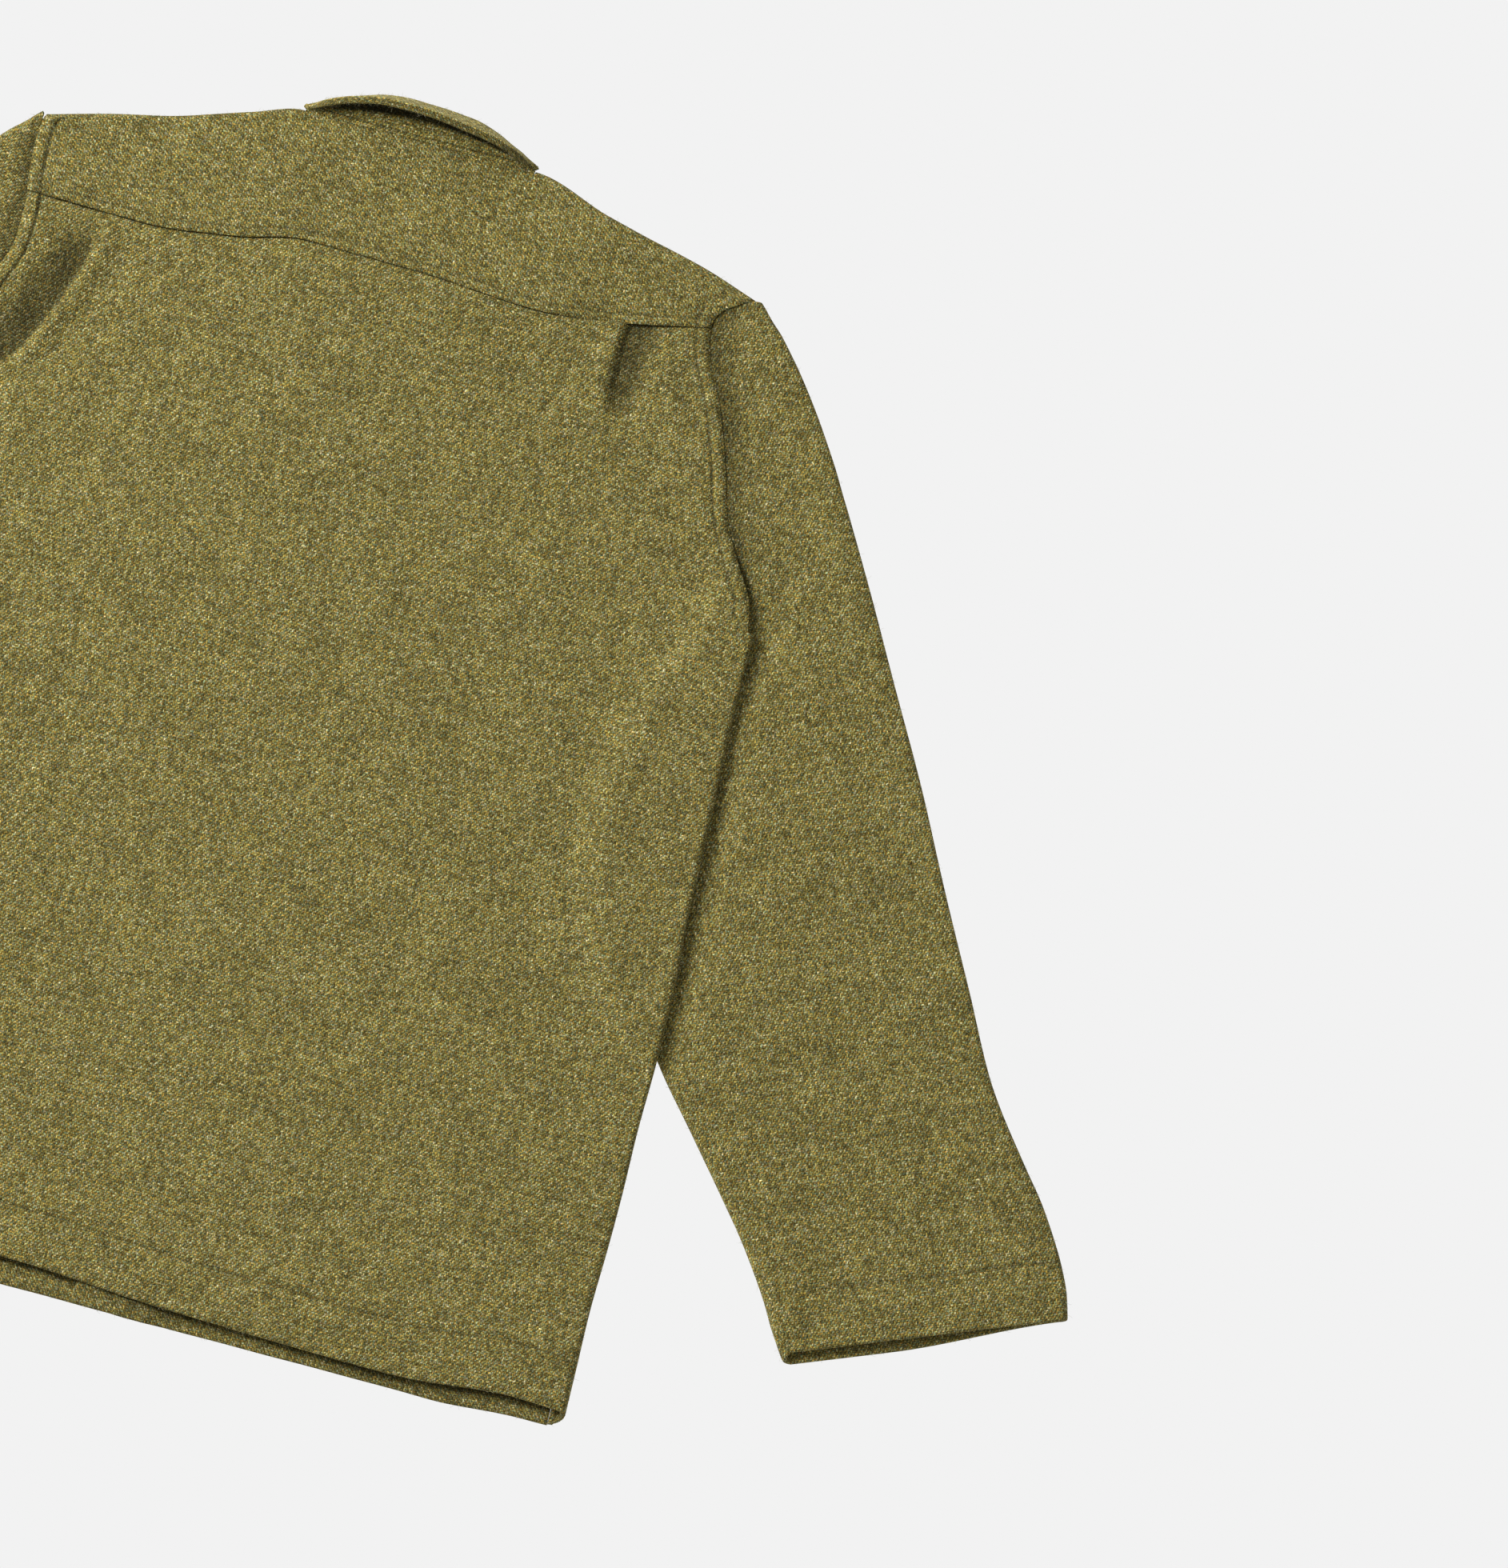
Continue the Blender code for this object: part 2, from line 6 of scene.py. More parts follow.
import logging
import math
from dataclasses import dataclass
from enum import Enum
from typing import Any, NamedTuple, Sequence

import bpy
import numpy as np
from mathutils import Matrix, Vector
from mathutils.bvhtree import BVHTree


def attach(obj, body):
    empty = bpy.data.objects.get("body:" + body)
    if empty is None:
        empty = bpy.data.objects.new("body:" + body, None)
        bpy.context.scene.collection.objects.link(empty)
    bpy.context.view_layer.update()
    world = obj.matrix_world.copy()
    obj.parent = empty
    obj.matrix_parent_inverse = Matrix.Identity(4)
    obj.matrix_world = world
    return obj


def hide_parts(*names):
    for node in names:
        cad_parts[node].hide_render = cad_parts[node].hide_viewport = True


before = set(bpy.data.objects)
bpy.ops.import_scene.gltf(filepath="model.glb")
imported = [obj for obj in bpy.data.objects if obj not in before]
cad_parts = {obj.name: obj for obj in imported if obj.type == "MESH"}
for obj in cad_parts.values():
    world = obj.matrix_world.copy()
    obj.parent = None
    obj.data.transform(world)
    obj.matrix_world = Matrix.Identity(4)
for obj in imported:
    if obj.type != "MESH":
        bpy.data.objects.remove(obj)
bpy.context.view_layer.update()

LOG = logging.getLogger("jacket")
MM = 0.001
PHOTO_HEIGHT = 1960

# The jacket is drawn from the centre back, and then laid with the middle of its length at the origin
LAID_SHIFT_Y = 0.00225

# The tables below are the pattern's own sizes, the same as those of the solids


class Width(NamedTuple):
    """Half the width of the body at a height above the centre back."""

    y: float
    half: float


class Armhole(NamedTuple):
    """Where the armhole seam lies at a height: right and left on the upper side, and on the under side."""

    y: float
    right: float
    left: float
    under: float


class Bend(NamedTuple):
    """A bend of a seam that runs across the body."""

    x: float
    y: float


class Across(NamedTuple):
    """A section across the sleeve below the armhole: its inner and its outer fold."""

    inner_x: float
    inner_y: float
    outer_x: float
    outer_y: float


class Cap(NamedTuple):
    """A line across the top of the sleeve: from the armhole seam on either side to the outer fold."""

    right_y: float
    left_y: float
    outer_x: float
    outer_y: float


class Roll(NamedTuple):
    """A section across the collar at the back of the neck: its fold and its free edge."""

    x: float
    outer_y: float
    edge_y: float
    edge_z: float
    radius: float


class Crease(NamedTuple):
    """A soft crease, in mm: from one end to the other, seen from above.

    bow is how far its middle lies to the left-hand side of the straight line, and left and right are its half
    widths. height is above the cloth or, if negative, below it, and the fades are shares of its length.
    """

    x0: float
    y0: float
    x1: float
    y1: float
    bow: float
    left: float
    right: float
    height: float
    fade_in: float = 0.35
    fade_out: float = 0.35


def table(kind: type, *rows: tuple[float, ...]) -> tuple[Any, ...]:
    """The rows of a table, each with its named columns."""
    return tuple(kind(*row) for row in rows)


BODY_WIDTHS = table(
    Width,
    (-0.384, 0.2830), (-0.290, 0.2810), (-0.150, 0.2810), (-0.046, 0.2760), (0.064, 0.2715),
    (0.118, 0.2710),
)
ARMHOLES = table(
    Armhole,
    (0.116, 0.2671, 0.2671, 0.2671), (0.132, 0.2640, 0.2640, 0.2640), (0.154, 0.2520, 0.2520, 0.2520),
    (0.181, 0.2380, 0.2380, 0.2380), (0.210, 0.2290, 0.2275, 0.2290), (0.236, 0.2200, 0.2200, 0.2200),
    (0.257, 0.2110, 0.2200, 0.2150), (0.272, 0.2035, 0.2225, 0.2135), (0.284, 0.1995, 0.2235, 0.2140),
    (0.294, 0.1985, 0.2240, 0.2150), (0.302, 0.2020, 0.2240, 0.2165), (0.309, 0.2110, 0.2230, 0.2185),
    (0.3145, 0.2200, 0.2205, 0.2205),
)
YOKE_SEAM = table(
    Bend,
    (-0.222, 0.264), (-0.147, 0.263), (-0.093, 0.269), (-0.050, 0.278), (0.022, 0.277), (0.094, 0.273),
    (0.132, 0.277), (0.164, 0.283), (0.199, 0.291),
)
SHOULDER_LINE = table(
    Bend,
    (-0.2205, 0.3130), (-0.1850, 0.3230), (-0.1430, 0.3330), (-0.1030, 0.3460), (-0.0720, 0.3555),
    (0.0720, 0.3555), (0.1210, 0.3410), (0.1850, 0.3260), (0.2200, 0.3145),
)
BACK_HEM = table(
    Bend,
    (-0.283, -0.3700), (-0.190, -0.3690), (-0.070, -0.3665), (0.040, -0.3720), (0.175, -0.3745),
    (0.250, -0.3685), (0.283, -0.3700),
)
FRONT_NECKLINE = table(
    Bend,
    (-0.022, 0.2680), (0.010, 0.2690), (0.034, 0.2780), (0.054, 0.3000), (0.0662, 0.3343),
)
SLEEVE = table(
    Across,
    (0.3980, -0.3010, 0.5580, -0.2350), (0.3890, -0.2890, 0.5535, -0.2205),
    (0.3800, -0.2735, 0.5460, -0.2045), (0.3590, -0.2430, 0.5270, -0.1740),
    (0.3380, -0.2170, 0.5080, -0.1500), (0.3120, -0.1860, 0.4790, -0.1110),
    (0.2820, -0.1500, 0.4500, -0.0570), (0.2520, -0.1050, 0.4220, -0.0050),
    (0.2300, -0.0500, 0.3920, 0.0530), (0.2260, 0.0100, 0.3600, 0.1100), (0.2400, 0.0700, 0.3310, 0.1620),
    (0.2580, 0.1080, 0.3060, 0.2050),
)
SLEEVE_CAP = table(
    Cap,
    (0.1320, 0.1320, 0.3000, 0.2150), (0.1540, 0.1540, 0.2930, 0.2270), (0.1810, 0.1800, 0.2850, 0.2395),
    (0.2100, 0.2050, 0.2760, 0.2530), (0.2360, 0.2280, 0.2660, 0.2670), (0.2570, 0.2480, 0.2560, 0.2800),
    (0.2720, 0.2620, 0.2480, 0.2895), (0.2840, 0.2740, 0.2400, 0.2985), (0.2940, 0.2840, 0.2340, 0.3040),
    (0.3020, 0.2915, 0.2300, 0.3080), (0.3065, 0.2975, 0.2275, 0.3108), (0.3130, 0.3050, 0.2240, 0.3142),
)
COLLAR = table(
    Roll,
    (-0.0720, 0.3598, 0.3568, 0.0076, 0.0014), (-0.069, 0.3620, 0.3575, 0.0130, 0.0026),
    (-0.062, 0.3640, 0.3590, 0.0190, 0.0028), (-0.053, 0.3678, 0.3620, 0.0260, 0.0032),
    (-0.044, 0.3715, 0.3646, 0.0320, 0.0038), (-0.027, 0.3767, 0.3660, 0.0380, 0.0044),
    (-0.008, 0.3787, 0.3662, 0.0400, 0.0045), (0.010, 0.3787, 0.3650, 0.0400, 0.0045),
    (0.026, 0.3767, 0.3634, 0.0380, 0.0044), (0.044, 0.3716, 0.3613, 0.0335, 0.0038),
    (0.056, 0.3660, 0.3590, 0.0255, 0.0030), (0.064, 0.3630, 0.3575, 0.0170, 0.0026),
    (0.069, 0.3620, 0.3570, 0.0120, 0.0026), (0.0720, 0.3596, 0.3566, 0.0074, 0.0014),
)

# Creases of the back below the yoke: the right side follows the photograph, the left side is alike
BACK_CREASES = table(
    Crease,
    # Right tuck: a sharp edge with a steep valley on its right
    (153, 280, 158, 205, -4, 15, 4.2, -5.0, 0.0, 0.62), (147, 280, 152, 205, -4, 2.4, 15, 1.8, 0.0, 0.55),
    (182, 224, 238, 165, 2, 9, 8, 1.4), (187, 272, 215, 210, -2, 7, 8, -1.5, 0.1, 0.4),
    (117, 198, 173, 163, 3, 16, 14, -0.9), (150, 116, 246, 127, 3, 8, 5, -0.8),
    (158, 126, 240, 138, 3, 7, 6, 0.5), (118, 50, 130, -88, 2, 3, 8, -0.6),
    (41, -110, 164, -125, -4, 15, 18, -0.7), (-31, 194, 48, 176, 4, 18, 16, -0.6),
    (88, -290, 185, -317, 3, 14, 15, -0.6), (235, 60, 252, -60, 3, 10, 8, 0.2),
    (205, -140, 262, -215, -4, 9, 12, -0.7),
    # Left tuck: the cloth sinks to a steep wall and rises to a rounded ridge, with a second valley beyond it
    (-170, 268, -222, 140, 8, 3.4, 20, -5.4, 0.34, 0.30),
    (-165, 266, -213, 138, 8, 9, 3.4, 2.8, 0.14, 0.35), (-157, 240, -205, 142, 5, 10, 8, -1.5, 0.2, 0.4),
    (-146, 225, -190, 128, 4, 12, 11, 0.7), (-118, 66, -141, -72, 3, 8, 3, -0.6),
    (-60, -212, -190, -180, 6, 15, 13, -0.7), (-252, 66, -172, 18, -3, 7, 9, -0.8),
    (-236, -96, -206, -226, 5, 11, 9, 0.7), (-22, -18, 64, -62, 4, 14, 16, -0.5),
    (-150, -300, -70, -322, 3, 13, 12, -0.5), (-30, 110, -52, 20, 4, 14, 12, 0.5),
    (60, 60, 52, -40, -3, 13, 15, 0.4),
)
YOKE_CREASES = table(
    Crease,
    (-150, 278, 92, 289, 6, 11, 5, 0.8), (-34, 347, 96, 318, 4, 9, 13, -0.8),
    (140, 312, 206, 297, 3, 9, 7, 1.0), (-196, 300, -112, 312, -3, 9, 8, -0.7),
    (110, 296, 150, 322, 3, 7, 10, -0.6), (-96, 330, -60, 300, 3, 9, 9, 0.5),
)
SLEEVE_CREASES_RIGHT = table(
    Crease,
    (284, 214, 386, 58, 5, 16, 19, 1.2), (330, 108, 455, -86, -4, 17, 22, -1.2),
    (332, -66, 396, -138, 3, 13, 14, 1.0), (286, -48, 338, 4, 3, 9, 5, -1.4),
    (300, -80, 356, -44, 3, 8, 5, -0.8), (214, 290, 244, 246, -3, 12, 8, -2.0, 0.15, 0.45),
    (274, 120, 325, 24, 4, 12, 13, -0.9), (420, -228, 474, -188, 3, 6, 5, -0.5),
    (470, -120, 520, -196, -3, 9, 8, 0.7), (352, -190, 402, -228, 3, 7, 8, -0.7),
)
SLEEVE_CREASES_LEFT = table(
    Crease,
    (232, 268, 250, 226, 4, 9, 12, -2.2, 0.15, 0.45), (290, 206, 372, 84, -4, 19, 15, 1.1),
    (322, 92, 440, -70, 5, 20, 16, -1.0), (290, -34, 350, 0, -3, 6, 9, -1.3),
    (312, -96, 372, -70, 3, 5, 9, -0.9), (360, -90, 428, -150, -3, 14, 12, 0.9),
    (386, -206, 452, -222, 3, 7, 6, -0.6), (462, -96, 508, -172, 3, 9, 9, -0.6),
)


def smooth(value: np.ndarray | float) -> np.ndarray:
    """Eases from 0 to 1 while value goes from 0 to 1."""
    value = np.clip(value, 0.0, 1.0)
    return value * value * (3.0 - 2.0 * value)


def mix(start: Any, end: Any, share: Any) -> Any:
    """The value that lies the given share of the way from start to end."""
    return start + (end - start) * share


def dip(distance: np.ndarray, reach: float) -> np.ndarray:
    """A round bell of height 1 at distance 0, that has nearly gone at twice its reach."""
    return np.exp(-((distance / reach) ** 2))


def spaced(
    start: float, end: float, step: float, places: Sequence[float] = (), fine: float = 0.0009
) -> np.ndarray:
    """Positions from start to end, closer together round given places.

    Args:
        start: the first position.
        end: the last position.
        step: the usual distance between positions.
        places: where the cloth has a groove or an edge that needs closer rows.
        fine: the distance between positions next to such a place.

    Returns:
        The positions in rising order.
    """
    coarse = list(np.linspace(start, end, max(2, round((end - start) / step) + 1)))
    close: list[float] = []
    for place in places:
        close += [place + fine * count for count in (-5.0, -3.2, -2.0, -1.0, 0.0, 1.0, 2.0, 3.2, 5.0)]
    close = [at for at in close if start <= at <= end]
    kept = [at for at in coarse if all(abs(at - other) > 1.6 * fine for other in close)]
    inner = sorted(kept[1:-1] + close) if kept else sorted(close)
    inner = [at for at in inner if start + 0.4 * fine < at < end - 0.4 * fine]
    return np.array([start, *inner, end])


@dataclass(frozen=True)
class SmoothCurve:
    """One column of a table, read at any key smoothly and without overshoot."""

    keys: np.ndarray
    values: np.ndarray

    @classmethod
    def of(cls, rows: Sequence[NamedTuple], key: str, column: str) -> "SmoothCurve":
        """Reads the key and the column of every row."""
        keys, values = ([getattr(row, name) for row in rows] for name in (key, column))
        return cls(np.array(keys), np.array(values))

    @classmethod
    def by_row(cls, values: Sequence[float]) -> "SmoothCurve":
        """Reads a list of values by their place in it."""
        return cls(np.arange(len(values), dtype=float), np.array(values))

    def __call__(self, at: np.ndarray | float) -> np.ndarray:
        """Reads the column.

        Args:
            at: a key, or an array of keys.

        Returns:
            The value at each key.
        """
        slopes = np.diff(self.values) / np.diff(self.keys)
        before, after = slopes[:-1], slopes[1:]
        product = before * after
        total = np.where(product > 0, before + after, 1.0)
        inner = np.where(product > 0, 2.0 * product / total, 0.0)
        tangents = np.concatenate([slopes[:1], inner, slopes[-1:]])
        at = np.clip(at, self.keys[0], self.keys[-1])
        place = np.clip(np.searchsorted(self.keys, at, side="right") - 1, 0, len(self.keys) - 2)
        width = self.keys[place + 1] - self.keys[place]
        share = (at - self.keys[place]) / width
        rise = self.values[place + 1] - self.values[place]
        near = tangents[place] * width
        far = tangents[place + 1] * width
        bulge = share * (1 - share) * ((1 - share) * (near - rise) - share * (far - rise))
        return self.values[place] + rise * share + bulge

    def slope(self, at: np.ndarray) -> np.ndarray:
        """How steeply the column changes at a key."""
        return (self(at + 0.5 * MM) - self(at - 0.5 * MM)) / MM


@dataclass(frozen=True)
class Waves:
    """Gentle unevenness of laid cloth: many shallow waves of unlike length, most of them along the grain."""

    seed: int
    count: int = 26
    shortest: float = 0.016
    longest: float = 0.090
    height: float = 0.00034

    def __call__(self, x: np.ndarray, y: np.ndarray) -> np.ndarray:
        """Adds up the waves.

        Args:
            x: the places across.
            y: the places along.

        Returns:
            The height at each place.
        """
        draw = np.random.default_rng(self.seed)
        total = np.zeros(np.broadcast(x, y).shape)
        for _ in range(self.count):
            length = draw.uniform(self.shortest, self.longest)
            turn = draw.choice([0.0, math.pi / 2]) + draw.normal(0.0, 0.35)
            phase = draw.uniform(0.0, 2.0 * math.pi)
            along = x * math.cos(turn) + y * math.sin(turn)
            share = length / self.longest
            total += share * np.sin(2.0 * math.pi * along / length + phase)
        return total * self.height / math.sqrt(self.count / 6.0)


def crease_relief(creases: Sequence[Crease], x: np.ndarray, y: np.ndarray) -> np.ndarray:
    """How high a table of creases stands at each place.

    Args:
        creases: the table.
        x: the places across.
        y: the places along.

    Returns:
        The heights in metres.
    """
    total = np.zeros(np.broadcast(x, y).shape)
    for crease in creases:
        start = np.array([crease.x0, crease.y0]) * MM
        run = np.array([crease.x1, crease.y1]) * MM - start
        length = float(np.hypot(*run))
        along_x, along_y = run / length
        share = ((x - start[0]) * along_x + (y - start[1]) * along_y) / length
        inside = np.clip(share, 0.0, 1.0)
        aside = -(x - start[0]) * along_y + (y - start[1]) * along_x
        aside = aside - crease.bow * MM * 4.0 * inside * (1.0 - inside)
        reach = np.where(aside > 0, crease.left, crease.right) * MM
        entering = smooth(share / crease.fade_in) if crease.fade_in > 0 else smooth(1.0 + share / 0.1)
        leaving = smooth((1.0 - share) / crease.fade_out)
        total = total + crease.height * MM * dip(aside, reach) * entering * leaving
    return total


@dataclass(frozen=True)
class Draft:
    """The sizes that the pieces share, and the curves and heights worked out from them."""

    cloth: float = 0.0016
    hem_cloth: float = 0.0034
    seam_gap: float = 0.0004
    layer_gap: float = 0.0007
    body_loft: float = 0.0078
    body_hem_loft: float = 0.0108
    sleeve_loft: float = 0.0076
    sleeve_pressed_loft: float = 0.0056
    cuff_loft: float = 0.0100
    lift_by_sleeve: float = 0.0064
    lift_by_collar: float = 0.0027
    hem_depth: float = 0.032
    cuff_depth: float = 0.036
    back_hem_y: float = -0.371
    front_hem_y: float = -0.382
    underarm_y: float = 0.118
    side_seam_inset: float = 0.0090
    yoke_seam_y: float = 0.275
    neck_seam_y: float = 0.3565
    neck_half: float = 0.072
    yoke_turn: float = 0.022
    shoulder_lean: tuple[float, float] = (0.265, 0.964)
    front_overlap: float = 0.020
    cuff_lip: float = 0.006
    armhole_band: float = 0.0088
    armhole_drop: float = 0.0025
    yoke_band: float = 0.0062
    deepest_body: float = 0.0048
    deepest_sleeve: float = 0.0036

    body_half = staticmethod(SmoothCurve.of(BODY_WIDTHS, "y", "half"))
    armhole_right = staticmethod(SmoothCurve.of(ARMHOLES, "y", "right"))
    armhole_left = staticmethod(SmoothCurve.of(ARMHOLES, "y", "left"))
    armhole_under = staticmethod(SmoothCurve.of(ARMHOLES, "y", "under"))
    yoke_seam = staticmethod(SmoothCurve.of(YOKE_SEAM, "x", "y"))
    shoulder_line = staticmethod(SmoothCurve.of(SHOULDER_LINE, "x", "y"))
    back_hem = staticmethod(SmoothCurve.of(BACK_HEM, "x", "y"))
    front_neckline = staticmethod(SmoothCurve.of(FRONT_NECKLINE, "x", "y"))
    sleeve_inner_x = staticmethod(SmoothCurve.of(SLEEVE, "inner_y", "inner_x"))

    def lift(self, x: np.ndarray, y: np.ndarray) -> np.ndarray:
        """How high the under side of the body lies above the floor, over the sleeves and the collar's ends.

        Args:
            x: the places across.
            y: the places along the back.

        Returns:
            The heights.
        """
        x, y = np.broadcast_arrays(np.abs(np.asarray(x, float)), np.asarray(y, float))
        inner = np.where(y > SLEEVE[5].inner_y, self.sleeve_inner_x(y), self.body_half(y) + 0.030)
        over_sleeve = smooth((x - inner + 0.032) / 0.022) * smooth((0.176 - y) / 0.045)
        neck_x = np.arange(0, 67, 3) * MM
        neck_y = self.front_neckline(neck_x)
        from_neckline = np.full(x.shape, 1.0)
        for place_x, place_y in zip(neck_x, neck_y):
            from_neckline = np.minimum(from_neckline, np.hypot(x - place_x, y - place_y))
        over_collar = smooth((0.088 - from_neckline) / 0.030)
        return np.maximum(self.lift_by_sleeve * over_sleeve, self.lift_by_collar * over_collar)

    def loft(self, y: np.ndarray) -> np.ndarray:
        """The height of the body from its lower to its upper face: more where the hems lie on each other."""
        over_hem = smooth((self.back_hem_y + self.hem_depth + 0.022 - y) / 0.020)
        return mix(self.body_loft, self.body_hem_loft, over_hem)

    def front_top(self, side: int, across: np.ndarray) -> np.ndarray:
        """The upper edge of a front: its neckline, then its seam to the yoke.

        Args:
            side: 1 for the right front and -1 for the left one.
            across: the distances from the centre.

        Returns:
            How far up the edge lies.
        """
        shoulder = self.shoulder_line(side * (across + self.shoulder_lean[0] * self.yoke_turn))
        shoulder = shoulder - self.shoulder_lean[1] * self.yoke_turn
        return np.where(across <= FRONT_NECKLINE[-1].x, self.front_neckline(across), shoulder)

    def from_armhole(self, x: np.ndarray, y: np.ndarray) -> np.ndarray:
        """How far places on the upper side of the body lie from the armhole seam.

        Args:
            x: the places across.
            y: the places along the back.

        Returns:
            The distances, which are large below the armhole.
        """
        far = 0.2
        reads = ((x >= 0, self.armhole_right), (x < 0, self.armhole_left))
        distance = np.full(np.broadcast(x, y).shape, far)
        for chosen, seam in reads:
            level = (seam(y) - np.abs(x)) / np.hypot(1.0, seam.slope(y))
            distance = np.where(chosen, level, distance)
        return np.where(y > self.underarm_y, distance, far)

    def armhole_relief(self, x: np.ndarray, y: np.ndarray) -> np.ndarray:
        """The raised band beside the armhole seam, its stitch groove, and the edge that turns down.

        Args:
            x: the places across.
            y: the places along the back.

        Returns:
            The heights above the plain cloth.
        """
        distance = self.from_armhole(x, y)
        starting = smooth((y - self.underarm_y) / 0.012)
        tip = smooth((0.312 - y) / 0.030)
        band = 0.0006 * smooth((self.armhole_band - distance) / 0.0016)
        groove = 0.0009 * dip(distance - self.armhole_band, 0.0009)
        edge = mix(0.0012, self.armhole_drop, tip) * dip(distance, 0.0022)
        return starting * (band - groove - edge)

    def armhole_shade(self, x: np.ndarray, y: np.ndarray) -> np.ndarray:
        """The painted shade of the armhole's stitch groove and its seam edge: how much light they keep.

        Args:
            x: how far right each place lies.
            y: how far up the jacket each place lies.

        Returns:
            The share of the light, 1 on open cloth.
        """
        distance = self.from_armhole(x, y)
        starting = smooth((y - self.underarm_y) / 0.02)
        groove, edge = dip(distance - self.armhole_band, 0.0007), dip(distance, 0.0012)
        return 1.0 - starting * (0.58 * groove + 0.16 * edge)

    def deepest(self, relief: np.ndarray, limit: float) -> np.ndarray:
        """Keeps hollows from reaching the layer below: they flatten out at the limit."""
        return np.where(relief < 0, -limit * np.tanh(-relief / limit), relief)


DRAFT = Draft()


def turn_along(
    x: np.ndarray, low: np.ndarray, high: np.ndarray, angles: np.ndarray
) -> tuple[np.ndarray, np.ndarray]:
    """A half round at a fold, from the upper face down to the lower one.

    Args:
        x: where the fold's outermost line lies, measured outwards.
        low: the height of the lower face.
        high: the height of the upper face.
        angles: the turn at each step, from 0 on the upper face to pi on the lower one.

    Returns:
        How far out each point lies, and its height.
    """
    radius = (high - low) / 2
    return x + radius * (np.sin(angles) - 1.0), low + radius * (1.0 + np.cos(angles))


def outward_normals(points: np.ndarray, clockwise: bool) -> np.ndarray:
    """The direction out of the cloth at each point of a grid."""
    normals = np.cross(np.gradient(points, axis=1), np.gradient(points, axis=0))
    normals = normals / np.maximum(np.linalg.norm(normals, axis=2, keepdims=True), 1e-12)
    return -normals if clockwise else normals


def arc_lengths(points: np.ndarray, axis: int) -> np.ndarray:
    """The distance walked along a grid's rows or columns up to each point."""
    steps = np.linalg.norm(np.diff(points, axis=axis), axis=2)
    start = np.zeros_like(np.take(steps, [0], axis=axis))
    return np.concatenate([start, np.cumsum(np.nan_to_num(steps), axis=axis)], axis=axis)


def laid_grain(
    points: np.ndarray, plan: np.ndarray, rows: tuple[int, int], columns: tuple[int, int]
) -> np.ndarray:
    """The place on the flat cloth: as seen from above on the main face, and by the distance walked beyond it.

    Args:
        points: the outer face, rows x columns x 3.
        plan: the place seen from above, turned to the grain, rows x columns x 2.
        rows: the first and the last row of the main face.
        columns: the first and the last column of the main face.

    Returns:
        The place, rows x columns x 2.
    """
    grain = plan.copy()
    for axis, (first, last) in ((1, columns), (0, rows)):
        walked = arc_lengths(points, axis)
        other = 0 if axis == 1 else 1
        for edge, beyond in ((first, range(0, first)), (last, range(last + 1, points.shape[axis]))):
            inner = edge + 1 if edge == first else edge - 1
            at_edge, further_in = np.take(grain, edge, axis), np.take(grain, inner, axis)
            hand = np.sign(np.nanmedian(at_edge[:, other] - further_in[:, other]))
            for place in beyond:
                gone = np.abs(np.take(walked, place, axis) - np.take(walked, edge, axis))
                moved = at_edge.copy()
                moved[:, other] += hand * gone
                if axis == 1:
                    grain[:, place] = moved
                else:
                    grain[place] = moved
    return grain


def turned(points: np.ndarray, degrees: float) -> np.ndarray:
    """The plan of a grid of points, turned so that the grain runs along the second number."""
    turn = math.radians(degrees)
    cos, sin = math.cos(turn), math.sin(turn)
    x, y = points[..., 0], points[..., 1]
    return np.stack([x * cos + y * sin, -x * sin + y * cos], axis=-1)


def turn_up_hem(points: np.ndarray, depth: float, thick: float, clockwise: bool) -> np.ndarray:
    """Adds the turned-up layer of a hem, whose fold lies at the first row.

    Args:
        points: the outer face, rows x columns x 3, from the hem's fold upwards.
        depth: how far the hem is turned up inside.
        thick: the distance from the outer face to the far side of the turned-up layer.
        clockwise: whether the columns run clockwise as seen from outside.

    Returns:
        The grid with the rows of the turned-up layer and of the fold before the first row.
    """
    normals = outward_normals(points, clockwise)
    walked = np.nanmean(arc_lengths(points, 0), axis=1)
    inner_rows = [row for row in range(len(points)) if walked[row] <= depth]
    inner = (points - normals * thick)[inner_rows[::-1]]
    out_of_hem = points[0] - points[1]
    out_of_hem = out_of_hem / np.linalg.norm(out_of_hem, axis=1, keepdims=True)
    centre = points[0] - normals[0] * thick / 2
    fold = []
    for angle in np.linspace(math.pi, 0.0, 7)[1:-1]:
        fold.append(centre + (normals[0] * math.cos(angle) + out_of_hem * math.sin(angle)) * thick / 2)
    return np.concatenate([inner, np.array(fold), points])


def linear(hex_colour: str) -> tuple[float, float, float, float]:
    """An sRGB hex colour as the linear colour that Blender's sockets take."""
    parts = [int(hex_colour[place : place + 2], 16) / 255 for place in (1, 3, 5)]
    made = [part / 12.92 if part <= 0.04045 else ((part + 0.055) / 1.055) ** 2.4 for part in parts]
    return (*made, 1.0)


def add_node(
    tree: bpy.types.NodeTree, kind: str, settings: dict[str, Any], sockets: dict[Any, Any]
) -> bpy.types.Node:
    """Adds a node to a material.

    Args:
        tree: the material's node tree.
        kind: the node's type name.
        settings: its properties by name.
        sockets: its inputs by name or number, each a value, or another node's output to link.

    Returns:
        The node.
    """
    node = tree.nodes.new(kind)
    for name, value in settings.items():
        setattr(node, name, value)
    for name, value in sockets.items():
        if isinstance(value, bpy.types.NodeSocket):
            tree.links.new(value, node.inputs[name])
        else:
            node.inputs[name].default_value = value
    return node


def bare_material(name: str, shown: str) -> tuple[bpy.types.Material, bpy.types.NodeTree]:
    """Makes a material with an empty node tree.

    Args:
        name: its name.
        shown: the hex colour that it has in a plain view.

    Returns:
        The material and its node tree.
    """
    made = bpy.data.materials.new(name)
    made.use_nodes = True
    made.diffuse_color = linear(shown)
    made.node_tree.nodes.clear()
    return made, made.node_tree


